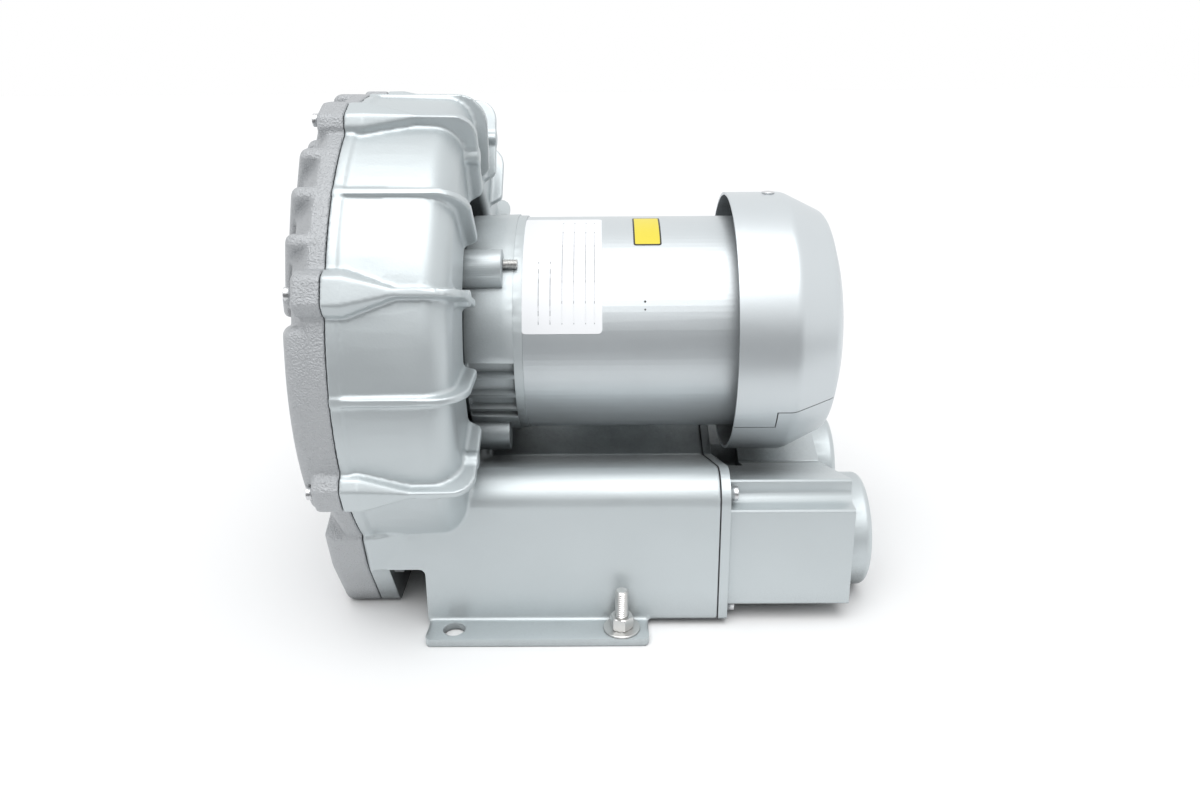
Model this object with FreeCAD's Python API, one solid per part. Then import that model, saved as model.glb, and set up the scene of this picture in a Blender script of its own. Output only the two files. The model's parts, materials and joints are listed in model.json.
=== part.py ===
import FreeCAD, Part
import math
import os

V = FreeCAD.Vector

# Side channel blower. Origin: centre of the four foot holes on the plane the feet stand on.
# +X runs along the motor axis from the impeller case to the ports, +Z is up, millimetres.
# Angles round the motor axis are in degrees from the -Y side, growing towards +Z.

# Feet
foot_pitch_x = 115.0
foot_pitch_y = 260.0
foot_hole_r = 7.35
foot_t = 6.0
foot_end_margin = 18.5
foot_side_margin = 12.6
foot_corner_r = 4.0

# Motor axis
axis_h = 187.0

# Impeller case, the machined and finned casting on the motor side
parting_x = -116.8
case_depth = 71.8
case_r = 165.0
case_flange_r = 166.6
case_flange_t = 6.0
case_wall = 5.5
case_corner_r = 18.0
case_recess_r = 100.5
case_draft = 2.0
web_t = 9.6
channel_corner_r = 13.0
stripper_half_angle = 15.0

# Ribs of the case
plain_rib_r = 167.8
bolt_rib_r = 172.0
rib_t = 5.0
rib_root = 2.8
rib_stand_off = 10.0
plain_rib_corner_r = 21.0
bolt_rib_corner_r = 15.0
rib_inner_r = 108.0
pin_r = 5.4
pin_ring_r = 141.0

# Screws that join cover and case
screw_ring_r = 168.0
screw_r = 2.5
screw_head_r = 4.25
screw_head_h = 5.0
screw_reach = 20.0
boss_w = 28.0
boss_r = 176.5
boss_straight = 12.0
boss_taper = 31.0
boss_edge_r = 3.0
cover_boss_h = 17.5

# Cover, the sand-cast side
cover_r = 167.0
cover_rim_t = 10.5
cover_wall = 5.0
cover_channel_depth = 22.0
cover_disc_t = 14.0
fin_t = 10.0
fin_edge_r = 4.0
fin_pitch = 11.25
fin_tip_x = 24.0
fin_tip_r = 167.5
fin_crest_x = 49.5
fin_crest_r = 88.0
hub_r = 46.0
hub_h = 34.0
lobe_from = -31.0
lobe_to = 16.0
lobe_end_r = 7.0
lobe_foot_r = 76.0

# Duct box below the case, shared by cover and case
duct_top_y = 124.0
duct_top_z = 72.0
duct_knee_y = 114.6
duct_knee_z = 43.6
duct_bottom_y = 87.5
duct_bottom_z = 1.0
duct_wall = 6.0
duct_cover_depth = 26.5
duct_case_depth = 14.0
duct_divider = 32.0
duct_edge_r = 7.0

# Silencer chambers, two side by side below the motor
chamber_y = 118.5
chamber_bottom_z = 4.0
chamber_wall = 6.0
chamber_corner_r = 20.0
chamber_corner_z = 91.0
facet_high_z = 64.4
facet_high_x = 25.5
facet_low_x = 10.5
facet_low_rise = 1.5
facet_end_x = 4.4
facet_end_margin = 1.5
facet_to_x = 28.0
wedge_x = 2.2
wedge_outer_margin = 4.0
wedge_inner_margin = 13.0
chamber_front_x = 4.5
chamber_slope = 20.0
chamber_divider = 10.0
chamber_x0 = -77.5
chamber_x1 = 124.5
notch_z = 45.0
tunnel_y = 82.0
window_y0 = 46.0
window_y1 = 98.0
window_z0 = 14.0
window_z1 = 62.0
window_len = 18.0

# Silencer end covers with the two threaded ports
gasket_t = 0.4
plate_t = 6.2
nozzle_y = 113.5
nozzle_bottom_z = 13.0
nozzle_ledge_z = 86.5
nozzle_step_y = 97.5
nozzle_ridge_z = 102.0
nozzle_slope = 18.5
nozzle_len = 85.4
nozzle_wall = 6.0
nozzle_gap = 2.0
port_y = 57.0
port_z = 42.6
port_boss_r = 41.0
port_boss_len = 19.0
port_boss_edge_r = 5.0
port_bore_r = 28.7
port_land = 8.0
end_screw_r = 3.0
end_screw_head_r = 5.0
end_screw_head_h = 6.0
end_screw_reach = 22.0
end_screw_side_y = 106.0
end_screw_top_z = 96.0
end_screw_low_z = 10.0
end_screw_mid_y = 12.0
end_screw_mid_z = 63.0
foam_t = 11.0
foam_gap = 0.3

# Motor
shell_r = 78.5
shell_t = 3.0
shell_x0 = -9.0
shell_x1 = 150.0
bell_post_x = -50.0
bell_boss_end_x = -22.0
bell_boss_r = 13.0
bell_boss_ring_r = 84.0
bell_high_angle = 42.0
bell_low_angle = -57.0
bell_r = 80.5
bell_wall = 9.0
bell_rim_r = 79.6
bell_rim_t = 6.0
bell_pad_from = -4.0
bell_pad_to = 30.0
bell_slot_from = -41.0
bell_slot_depth = 11.0
bell_fin_t = 3.2
bell_fin_angles = [-12.0, -24.0, -35.0]
spigot_len = 6.0
spigot_wall = 6.0
post_r = 11.0
mount_screw_r = 4.0
mount_screw_head_r = 6.5
mount_screw_head_h = 5.0
mount_screw_reach = 22.0
shaft_r = 12.5
shaft_nose_r = 9.5
shaft_tail_r = 8.5
shaft_rear_r = 11.0
shaft_core_r = 17.0
core_x0 = 20.0
core_len = 92.0
rotor_core_r = 44.0
air_gap = 0.6
front_bearing_r = 26.0
front_bearing_w = 15.0
rear_bearing_r = 20.0
rear_bearing_w = 12.0
rear_bell_t = 16.0
washer_t = 1.4
bearing_seat_wall = 7.0

# Impeller
impeller_r = 151.0
impeller_w = 34.0
impeller_gap = 0.6
impeller_tip_gap = 0.9
impeller_ring_r = 106.0
impeller_disc_t = 8.0
impeller_hub_r = 24.0
impeller_hub_w = 26.0
vane_count = 36
vane_t = 3.0
vane_lean = 12.0
vane_bend = 4.0
crest_t = 3.0
shim_t = 2.0
seal_w = 7.0
seal_r = 22.0

# Fan and fan cover
fan_cover_r = 95.9
fan_cover_t = 2.0
fan_cover_x0 = 136.0
fan_cover_cone_x = 177.0
fan_cover_shoulder_x = 206.0
fan_cover_shoulder_r = 81.5
fan_cover_end_x = 211.4
grille_rings = 4
grille_spokes = 8
grille_spoke_w = 6.0
grille_r0 = 14.0
grille_pitch = 13.0
grille_slot_w = 7.5
segment_low_angle = -34.5
segment_high_angle = -25.0
segment_step_x = 165.5
segment_gap = 0.8
fan_x = 174.0
fan_r = 76.0
fan_w = 22.0
fan_hub_r = 20.0
fan_blades = 9
fan_blade_t = 2.4
cover_lug_w = 16.0
cover_lug_len = 20.0
fan_screw_r = 2.5
fan_screw_inset = 5.0
fan_screw_head_r = 4.6
fan_screw_head_h = 1.2

# Terminal box on the far side of the motor
box_x = 62.0
box_len = 92.0
box_h = 84.0
box_reach = 36.0
box_wall = 3.5
box_corner_r = 8.0
lid_t = 4.0
lid_gasket_t = 1.0
lid_screw_r = 2.0
lid_screw_head_r = 3.8
lid_screw_head_h = 2.6
cable_entry_r = 11.1

# Clearances
fit_gap = 0.05
seat_gap = 0.1
hole_gap = 0.3

# Derived places
case_back_x = parting_x + case_depth
case_in_r = case_r - case_wall
channel_back_x = case_back_x - case_wall
channel_in_r = case_recess_r + case_wall
impeller_x0 = parting_x + impeller_gap
impeller_x1 = impeller_x0 + impeller_w
impeller_mid_x = (impeller_x0 + impeller_x1) / 2
land_x = impeller_x1 + impeller_gap
web_back_x = land_x + web_t
rim_x = parting_x - cover_rim_t
cover_front_x = parting_x - cover_channel_depth - cover_wall
cover_boss_x = parting_x - cover_boss_h
plate_x0 = chamber_x1 + gasket_t
plate_x1 = plate_x0 + plate_t
nozzle_x1 = plate_x1 + nozzle_len
port_x1 = nozzle_x1 + port_boss_len
foot_half_x = foot_pitch_x / 2 + foot_end_margin
foot_half_y = foot_pitch_y / 2 + foot_side_margin
rib_back_x = case_back_x + rib_stand_off
mount_seat_x = land_x + mount_screw_head_h + 0.6
duct_case_x = parting_x + duct_case_depth
core_x1 = core_x0 + core_len
stator_r = shell_r - shell_t - seat_gap
stator_bore_r = rotor_core_r + air_gap
front_bearing_x = bell_post_x - 3.0
rear_bearing_x = shell_x1 - 2.0
boss_angles = [22.5, 67.5, 112.5, 157.5, 202.5, -22.5]
plain_rib_angles = [0.0, 45.0, 90.0, 135.0, 180.0]
low_screw_z = axis_h - screw_ring_r
corner_screw_y = 96.0
corner_screw_z = 33.0
hub_x0 = impeller_x1 - 1.8 - impeller_hub_w
hub_x1 = hub_x0 + impeller_hub_w


def axis_point(x=0.0):
    return V(x, 0, axis_h)


def yz(x):
    """Places an outline given as (y, z) in the plane at x."""
    return lambda a, b: V(x, a, b)


def xr(a, b):
    """Places an outline given as (x, radius) in the upright plane through the motor axis."""
    return V(a, 0, axis_h + b)


def rounded_wire(corners, place):
    """Closed wire through corners (a, b, radius): straight sides joined by tangent arcs."""
    joints = []
    count = len(corners)
    for i, (a, b, radius) in enumerate(corners):
        here = V(a, b, 0)
        back = (V(*corners[i - 1][:2], 0) - here).normalize()
        ahead = (V(*corners[(i + 1) % count][:2], 0) - here).normalize()
        if radius <= 0:
            joints.append((here, None, here))
            continue
        half = back.getAngle(ahead) / 2
        reach = radius / math.tan(half)
        inward = (back + ahead).normalize()
        middle = here + inward * (radius / math.sin(half) - radius)
        joints.append((here + back * reach, middle, here + ahead * reach))
    edges = []
    for i, (start, middle, end) in enumerate(joints):
        last = joints[i - 1][2]
        if (start - last).Length > 1e-6:
            edges.append(Part.makeLine(place(last.x, last.y), place(start.x, start.y)))
        if middle is not None:
            ends = [place(p.x, p.y) for p in (start, middle, end)]
            edges.append(Part.Arc(*ends).toShape())
    return Part.Wire(edges)


def rounded_face(corners, place):
    return Part.Face(rounded_wire(corners, place))


def prism(corners, x0, x1):
    """Outline given as (y, z, radius), extruded from x0 to x1."""
    return rounded_face(corners, yz(x0)).extrude(V(x1 - x0, 0, 0))


def mirrored_outline(corners):
    """Closes a half outline given on the -Y side, from bottom to top, with its mirror image."""
    return corners + [(-y, z, r) for y, z, r in reversed(corners) if abs(y) > 1e-6]


def at_angle(shape, angle):
    """Turns a shape made at the top of the motor axis to the given angle round it."""
    turned = shape.copy()
    turned.rotate(axis_point(), V(1, 0, 0), 90.0 - angle)
    return turned


def turned(corners, start=90.0, sweep=360.0):
    """Outline given as (x, radius, corner radius), revolved from the angle start upwards."""
    face = at_angle(rounded_face(corners, xr), start)
    return face.revolve(axis_point(), V(1, 0, 0), -sweep)


def ring(x0, x1, r_in, r_out):
    return turned([(x0, r_in, 0), (x1, r_in, 0), (x1, r_out, 0), (x0, r_out, 0)])


def rod(x0, x1, radius, y=0.0, z=axis_h):
    return Part.makeCylinder(radius, x1 - x0, V(x0, y, z), V(1, 0, 0))


def block(x0, x1, y0, y1, z0, z1):
    return Part.makeBox(x1 - x0, y1 - y0, z1 - z0, V(x0, y0, z0))


def polar(radius, angle):
    """Y and Z of a point at the radius and angle round the motor axis."""
    t = math.radians(angle)
    return -radius * math.cos(t), axis_h + radius * math.sin(t)


def mirror_y(shape):
    return shape.mirror(V(0, 0, 0), V(0, 1, 0))


def fuse(shapes):
    return shapes[0].multiFuse(shapes[1:]).removeSplitter()


def beyond_plane(a, b, c, size=80.0):
    """Block that fills the space on one side of the plane through three points."""
    filler = Part.makeBox(size, size, size, V(-size / 2, -size / 2, 0))
    filler.Placement = FreeCAD.Placement(a, FreeCAD.Rotation(V(0, 0, 1), (c - a).cross(b - a)))
    return filler


def duct_outline(inset=0.0):
    """Outer outline of the duct box in (y, z): sloping sides that run in towards the bottom."""
    half = [
        (-(duct_bottom_y - inset), duct_bottom_z + inset, 10.0),
        (-(duct_knee_y - inset), duct_knee_z, 30.0),
        (-(duct_top_y - inset), duct_top_z, 0),
        (-80.0, duct_top_z + 18.0, 0),
    ]
    return mirrored_outline(half)


def duct_space(x0, x1):
    """The two duct passages between the side channel and the bottom of the duct box."""
    y_mid = duct_divider / 2
    near = [
        (-(duct_bottom_y - duct_wall + 2), duct_bottom_z + duct_wall, 6.0),
        (-(duct_knee_y - duct_wall), duct_knee_z + 2, 20.0),
        (-(duct_top_y - duct_wall - 4), duct_top_z - 3, 0),
        (-(duct_top_y - duct_wall - 14), duct_top_z + 3, 0),
        (-duct_divider, low_screw_z + 19.0, 0),
        (-y_mid, low_screw_z + 3.0, 0),
        (-y_mid, duct_bottom_z + duct_wall, 3.0),
    ]
    passage = prism(near, x0, x1)
    passage = passage.cut(rod(x0 - 1, x1 + 1, 7.0, -corner_screw_y, corner_screw_z))
    return [passage, mirror_y(passage)]


def chamber_section(inset=0.0, y_mid=0.0):
    """Half of the chamber outline on the -Y side: upright wall, round shoulder, sloping top."""
    slope = math.radians(chamber_slope)
    side_y = chamber_y - inset
    corner_y = chamber_y - chamber_corner_r
    radius = chamber_corner_r - inset
    touch_y = corner_y - radius * math.sin(slope)
    touch_z = chamber_corner_z + radius * math.cos(slope)
    peak_z = touch_z + (side_y - touch_y) * math.tan(slope)
    mid_z = touch_z - (touch_y - y_mid) * math.tan(slope)
    return [
        (-side_y, chamber_bottom_z + inset, 3.0),
        (-side_y, peak_z, radius),
        (-y_mid, mid_z, 0),
    ]


def chamber_outline():
    return mirrored_outline(chamber_section())


def chamber_space_outline():
    half = chamber_section(chamber_wall, chamber_divider / 2)
    return half + [(-chamber_divider / 2, chamber_bottom_z + chamber_wall, 3.0)]


def end_screw_places():
    """Places of the four screws of the near silencer end cover, in (y, z)."""
    return [
        (-end_screw_side_y, end_screw_top_z),
        (-end_screw_side_y, end_screw_low_z),
        (-end_screw_mid_y, end_screw_low_z),
        (-end_screw_mid_y, end_screw_mid_z),
    ]


def cover_screw_places():
    """Places of the screws of the case cover: (y, z, x of the seat under the head)."""
    places = [(*polar(screw_ring_r, a), cover_boss_x) for a in boss_angles]
    duct_front_x = parting_x - duct_cover_depth
    places.append((0.0, low_screw_z, duct_front_x + screw_head_h))
    for side in (-1, 1):
        places.append((side * corner_screw_y, corner_screw_z, duct_front_x + screw_head_h))
    return places


def boss_wire(half_width, top_r, x):
    """Cross section of a screw boss: a rounded hump standing on the rim, at the top."""
    shoulder = 0.62 * half_width
    corners = [
        (-half_width, axis_h + case_in_r - 2, 0),
        (-half_width, axis_h + top_r - 0.45 * half_width, 0.25 * half_width),
        (-shoulder, axis_h + top_r, 0.25 * half_width),
        (shoulder, axis_h + top_r, 0.25 * half_width),
        (half_width, axis_h + top_r - 0.45 * half_width, 0.25 * half_width),
        (half_width, axis_h + case_in_r - 2, 0),
    ]
    return rounded_wire(corners, yz(x))


def case_rib(outer_r, corner_r):
    """One rib at the top: a band along the case that wraps round its back corner."""
    corners = [
        (parting_x, case_r - rib_root, 0),
        (parting_x, outer_r, 0),
        (rib_back_x, outer_r - 1.0, corner_r),
        (rib_back_x, rib_inner_r + 5, 6.0),
        (case_back_x + 2, rib_inner_r, 3.0),
        (case_back_x - rib_root, rib_inner_r + 2, 0),
        (case_back_x - rib_root, case_r - rib_root, case_corner_r - rib_root),
    ]
    face = rounded_face(corners, xr)
    face.translate(V(0, -rib_t / 2, 0))
    return face.extrude(V(0, rib_t, 0))


def case_screw_boss():
    """Screw boss at the top, full width at the flange and tapering into its rib."""
    straight = Part.Face(boss_wire(boss_w / 2, boss_r, parting_x)).extrude(V(boss_straight, 0, 0))
    x0 = parting_x + boss_straight
    tail = boss_wire(rib_t / 2 - hole_gap, bolt_rib_r - hole_gap, x0 + boss_taper)
    taper = Part.makeLoft([boss_wire(boss_w / 2, boss_r, x0), tail], True, True)
    pin = rod(case_back_x - 4, rib_back_x + 0.6, pin_r, 0, axis_h + pin_ring_r)
    return fuse([straight, taper, pin])


def channel_space(x_open, x_end, sweep=None):
    """The side channel: a rounded square section swept round all but the stripper."""
    sweep = 360.0 - 2 * stripper_half_angle if sweep is None else sweep
    corners = [
        (x_open, channel_in_r, 0),
        (x_open, case_in_r, 0),
        (x_end, case_in_r, channel_corner_r),
        (x_end, channel_in_r, channel_corner_r),
    ]
    return turned(corners, -90.0 + stripper_half_angle, sweep)


def case_drum(gap=0.0):
    corners = [
        (parting_x, 0, 0),
        (parting_x, case_flange_r + gap, 0),
        (parting_x + case_flange_t + gap, case_flange_r + gap, 0),
        (parting_x + case_flange_t + 2 + gap, case_r + gap, 0),
        (case_back_x + gap, case_r - case_draft + gap, case_corner_r + gap),
        (case_back_x + gap, case_recess_r, 6.0),
        (web_back_x, case_recess_r, 4.0),
        (web_back_x, 0, 0),
    ]
    return turned(corners)


def case_lower_body():
    """Duct box and the two chambers, hollow, with the notch between them."""
    duct = prism(duct_outline(), parting_x, parting_x + facet_to_x)
    high_z = duct_top_z + 1.0
    facet = beyond_plane(V(parting_x + facet_high_x, -chamber_y, facet_high_z),
                         V(parting_x + facet_low_x, -chamber_y, notch_z + facet_low_rise),
                         V(parting_x + facet_end_x, -duct_top_y - facet_end_margin, high_z))
    wedge = block(parting_x + wedge_x, parting_x + facet_to_x,
                  -duct_top_y - wedge_outer_margin, -chamber_y + wedge_inner_margin, notch_z, high_z)
    duct = fuse([duct, wedge, mirror_y(wedge)]).cut(facet).cut(mirror_y(facet))
    under = block(duct_case_x, duct_case_x + 60, -200, 200, -10, notch_z)
    duct = duct.cut(under)
    chambers = prism(chamber_outline(), parting_x + chamber_front_x, chamber_x1)
    notch = rounded_face([
        (parting_x - 5, -20, 0), (chamber_x0, -20, 0), (chamber_x0, notch_z, 4.0),
        (parting_x - 5, notch_z, 0)], lambda a, b: V(a, -200, b)).extrude(V(0, 400, 0))
    chambers = chambers.cut(notch)
    space = prism(chamber_space_outline(), chamber_x0 + chamber_wall, chamber_x1 + 1)
    for y, z in end_screw_places():
        space = space.cut(rod(chamber_x1 - end_screw_reach - 6, chamber_x1 + 2, 7.5, y, z))
    tunnel_y1 = chamber_y - chamber_wall
    tunnel = block(duct_case_x - duct_wall - 1, chamber_x0 + chamber_wall + 1,
                   -tunnel_y1, -tunnel_y, notch_z + chamber_wall, duct_top_z + 4)
    space = space.fuse(tunnel)
    return fuse([duct, chambers]).cut(space).cut(mirror_y(space))


def foot(side):
    """Flange with two bolt holes along one side of the chambers."""
    y_out = side * foot_half_y
    y_in = side * (chamber_y - 14.0)
    corners = [
        (-foot_half_x, y_in, 0),
        (foot_half_x, y_in, 0),
        (foot_half_x, y_out, foot_corner_r),
        (-foot_half_x, y_out, foot_corner_r),
    ]
    plate = rounded_face(corners, lambda a, b: V(a, b, 0)).extrude(V(0, 0, foot_t))
    for x in (-foot_pitch_x / 2, foot_pitch_x / 2):
        hole = Part.makeCylinder(foot_hole_r, foot_t + 2, V(x, side * foot_pitch_y / 2, -1))
        plate = plate.cut(hole)
    return plate


def silencer_body():
    """Duct box, the two chambers and the feet, up to the drum of the impeller case."""
    body = fuse([case_lower_body(), foot(-1), foot(1)])
    tools = [case_drum(hole_gap)] + duct_space(parting_x - 1, duct_case_x - duct_wall)
    tools += [rod(parting_x - 1, web_back_x, case_recess_r + case_wall)]
    for y, z, seat_x in cover_screw_places():
        tools.append(rod(parting_x - 1, parting_x + screw_reach + 1, screw_r + fit_gap, y, z))
    for y, z in end_screw_places():
        for side in (1, -1):
            tools.append(rod(chamber_x1 - end_screw_reach, chamber_x1 + 1,
                             end_screw_r + fit_gap, side * y, z))
    for tool in tools:
        body = body.cut(tool)
    return body


def impeller_housing():
    """Drum with the side channel, its ribs, screw bosses and the posts for the motor."""
    solids = [case_drum()]
    solids += [at_angle(case_rib(plain_rib_r, plain_rib_corner_r), a) for a in plain_rib_angles]
    solids += [at_angle(case_rib(bolt_rib_r, bolt_rib_corner_r), a) for a in boss_angles]
    solids += [at_angle(case_screw_boss(), a) for a in boss_angles]
    for a in bell_angles():
        solids.append(rod(web_back_x - 1, bell_post_x, post_r, *polar(bell_boss_ring_r, a)))
    body = fuse(solids)
    tools = [
        rod(parting_x - 1, land_x, impeller_r + impeller_tip_gap),
        channel_space(parting_x - 1, channel_back_x),
        rod(land_x - 1, web_back_x + 1, seal_r + fit_gap),
    ]
    tools += duct_space(parting_x - 1, duct_case_x - duct_wall)
    for side in (-1, 1):
        y0, y1 = sorted((side * window_y0, side * window_y1))
        tools.append(block(channel_back_x - window_len - 2, channel_back_x - 2,
                           y0, y1, window_z0, window_z1))
    for y, z, seat_x in cover_screw_places():
        tools.append(rod(parting_x - 1, parting_x + screw_reach + 1, screw_r + fit_gap, y, z))
    for a in bell_angles():
        y, z = polar(bell_boss_ring_r, a)
        tools.append(rod(land_x - 1, mount_seat_x, mount_screw_head_r + hole_gap, y, z))
        tools.append(rod(land_x - 1, bell_post_x + 1, mount_screw_r + hole_gap, y, z))
    for tool in tools:
        body = body.cut(tool)
    return body


def cover_fin(inner_r, outer_r):
    """One cooling fin of the cover at the top, sloping from its crest to the rim."""
    slope = (fin_crest_x - fin_tip_x) / (fin_tip_r - fin_crest_r)
    tip_x = parting_x - fin_tip_x - (fin_tip_r - outer_r) * slope
    corners = [
        (parting_x - 4, inner_r, 0),
        (parting_x - 4, outer_r, 0),
        (tip_x, outer_r, 6.0),
        (parting_x - fin_crest_x, fin_crest_r, 9.0),
        (parting_x - hub_h, inner_r, 0),
    ]
    face = rounded_face(corners, xr)
    face.translate(V(0, -fin_t / 2, 0))
    fin = face.extrude(V(0, fin_t, 0))
    outline = [e for e in fin.Edges if e.BoundBox.XMax < parting_x - 4.5 and e.BoundBox.YLength < 0.01]
    return fin.makeFillet(fin_edge_r, outline)


def cover_lobe(inset=0.0):
    """Swollen sector of the cover where the channel widens towards its port."""
    corners = [
        (parting_x - 4, lobe_foot_r + inset, 0),
        (parting_x - 4, cover_r - 1 - inset, 0),
        (parting_x - fin_tip_x + inset, cover_r - 1 - inset, 7.0),
        (parting_x - fin_crest_x - 1 + inset, fin_crest_r + inset, 10.0 - inset / 2),
        (parting_x - 22, lobe_foot_r + inset, 4.0),
    ]
    trim = math.degrees(inset / channel_in_r)
    lobe = turned(corners, lobe_from + trim, lobe_to - lobe_from - 2 * trim)
    if inset > 0:
        return lobe
    return lobe.makeFillet(lobe_end_r, lobe_end_edges(lobe))


def lobe_end_edges(lobe):
    """Outer edges of the lobe's two flat ends."""
    edges = []
    for angle in (lobe_from, lobe_to):
        y, z = polar(1.0, angle)
        normal = V(0, y, z - axis_h).cross(V(1, 0, 0))
        for edge in lobe.Edges:
            if edge.BoundBox.XMax > parting_x - 4.5:
                continue
            gaps = [abs((v.Point - axis_point()).dot(normal)) for v in edge.Vertexes]
            if max(gaps) < 0.01:
                edges.append(edge)
    return edges


def cover_boss():
    """Boss under one screw head at the top of the cover, its outer edge rounded."""
    face = Part.Face(boss_wire(boss_w / 2, boss_r, parting_x))
    boss = face.extrude(V(-cover_boss_h, 0, 0))
    front = [e for e in boss.Edges if e.BoundBox.XMax < cover_boss_x + 0.01
             and e.BoundBox.ZMax > axis_h + case_r]
    return boss.makeFillet(boss_edge_r, front)


def impeller_cover():
    disc = turned([
        (parting_x, 0, 0),
        (parting_x, cover_r, 0),
        (rim_x, cover_r, 3.0),
        (rim_x - 4, case_in_r + 2, 2.0),
        (cover_front_x, case_in_r - 14, 16.0),
        (cover_front_x, channel_in_r + 2, 14.0),
        (parting_x - cover_disc_t, channel_in_r - 12, 5.0),
        (parting_x - cover_disc_t, 0, 0),
    ])
    hub = turned([
        (parting_x - 5, 0, 0),
        (parting_x - 5, hub_r, 0),
        (parting_x - hub_h, hub_r, 4.0),
        (parting_x - hub_h, hub_r - 9, 1.0),
        (parting_x - hub_h + 3, hub_r - 12, 1.0),
        (parting_x - hub_h + 3, 0, 0),
    ])
    duct = prism(duct_outline(), parting_x - duct_cover_depth, parting_x)
    front = [e for e in duct.Edges if e.BoundBox.XMax < parting_x - duct_cover_depth + 0.01
             and e.BoundBox.ZMin < duct_top_z + 1 and e.BoundBox.ZMax < duct_top_z + 1]
    duct = duct.makeFillet(duct_edge_r, front)
    lobe = cover_lobe()
    solids = [disc, hub, duct, lobe, mirror_y(lobe)]
    solids += [at_angle(cover_boss(), a) for a in boss_angles]
    steps = int(round((boss_angles[3] - boss_angles[0]) / fin_pitch)) + 1
    for k in range(steps):
        angle = boss_angles[0] + k * fin_pitch
        on_boss = k % 4 == 0
        outer = screw_ring_r - 15.0 if on_boss else fin_tip_r
        solids.append(at_angle(cover_fin(hub_r - 4, outer), angle))
    body = fuse(solids)
    space_lobe = cover_lobe(cover_wall + 1.0)
    inner_zone = ring(parting_x - 80, parting_x, 0, channel_in_r)
    space_lobe = space_lobe.cut(inner_zone)
    tools = [
        channel_space(parting_x + 1, parting_x - cover_channel_depth),
        space_lobe,
        mirror_y(space_lobe),
        rod(parting_x - 9, parting_x + 1, 20.0),
    ]
    tools += duct_space(parting_x - duct_cover_depth + duct_wall, parting_x + 1)
    for y, z, seat_x in cover_screw_places():
        tools.append(rod(seat_x - 40, parting_x + 1, screw_r + hole_gap, y, z))
        tools.append(rod(seat_x - 40, seat_x, screw_head_r + 1.0, y, z))
    for tool in tools:
        body = body.cut(tool)
    return body


def socket_screw(x_seat, x_end, radius, head_r, head_h, y, z, hex_r):
    """Cap screw along X with its head on the outer side of x_seat and a hexagon socket."""
    side = 1.0 if x_end > x_seat else -1.0
    shank = Part.makeCylinder(radius, abs(x_end - x_seat), V(x_seat, y, z), V(side, 0, 0))
    head = Part.makeCylinder(head_r, head_h, V(x_seat, y, z), V(-side, 0, 0))
    rim = [e for e in head.Edges if abs(e.CenterOfMass.x - (x_seat - side * head_h)) < 0.01]
    head = head.makeFillet(0.5, rim)
    mouth = x_seat - side * head_h
    points = [V(mouth, y + hex_r * math.cos(k * math.pi / 3), z + hex_r * math.sin(k * math.pi / 3))
              for k in range(7)]
    socket = Part.Face(Part.makePolygon(points)).extrude(V(side * head_h * 0.55, 0, 0))
    return shank.fuse(head).cut(socket).removeSplitter()


def cover_screws():
    return [socket_screw(x, parting_x + screw_reach, screw_r, screw_head_r, screw_head_h, y, z, 2.3)
            for y, z, x in cover_screw_places()]


def silencer_gasket():
    sheet = prism(silencer_outline(), chamber_x1, plate_x0)
    sheet = sheet.cut(prism(chamber_space_outline(), chamber_x1 - 1, plate_x0 + 1))
    for y, z in end_screw_places():
        sheet = sheet.fuse(rod(chamber_x1, plate_x0, 7.5, y, z))
    sheet = sheet.common(prism(silencer_outline(), chamber_x1 - 1, plate_x0 + 1))
    for y, z in end_screw_places():
        sheet = sheet.cut(rod(chamber_x1 - 1, plate_x0 + 1, end_screw_r + hole_gap, y, z))
    return sheet.removeSplitter()


def silencer_outline():
    """Outline of one end cover's plate: the chamber's own, with a gap at the middle."""
    half = chamber_section(0.0, nozzle_gap / 2)
    return half + [(-nozzle_gap / 2, chamber_bottom_z, 2.0)]


def nozzle_outline(inset=0.0):
    """Section of the end cover's box: ledge for the screw, ridge, and a top that slopes inwards."""
    drop = math.tan(math.radians(nozzle_slope))
    y_mid = nozzle_gap / 2
    if inset > 0:
        y_mid = y_mid + inset
        side = nozzle_step_y - inset
        top = nozzle_ridge_z - inset - 2
        return [
            (-side - 8, nozzle_bottom_z + inset, 4.0),
            (-side - 8, nozzle_ledge_z - inset, 4.0),
            (-side, nozzle_ledge_z - inset + 2, 0),
            (-side, top, 4.0),
            (-y_mid, top - (side - y_mid) * drop, 4.0),
            (-y_mid, nozzle_bottom_z + inset, 4.0),
        ]
    return [
        (-nozzle_y, nozzle_bottom_z, 2.0),
        (-nozzle_y, nozzle_ledge_z, 2.0),
        (-nozzle_step_y, nozzle_ledge_z, 8.0),
        (-nozzle_step_y, nozzle_ridge_z, 2.0),
        (-y_mid, nozzle_ridge_z - (nozzle_step_y - y_mid) * drop, 2.0),
        (-y_mid, nozzle_bottom_z, 2.0),
    ]


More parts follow.
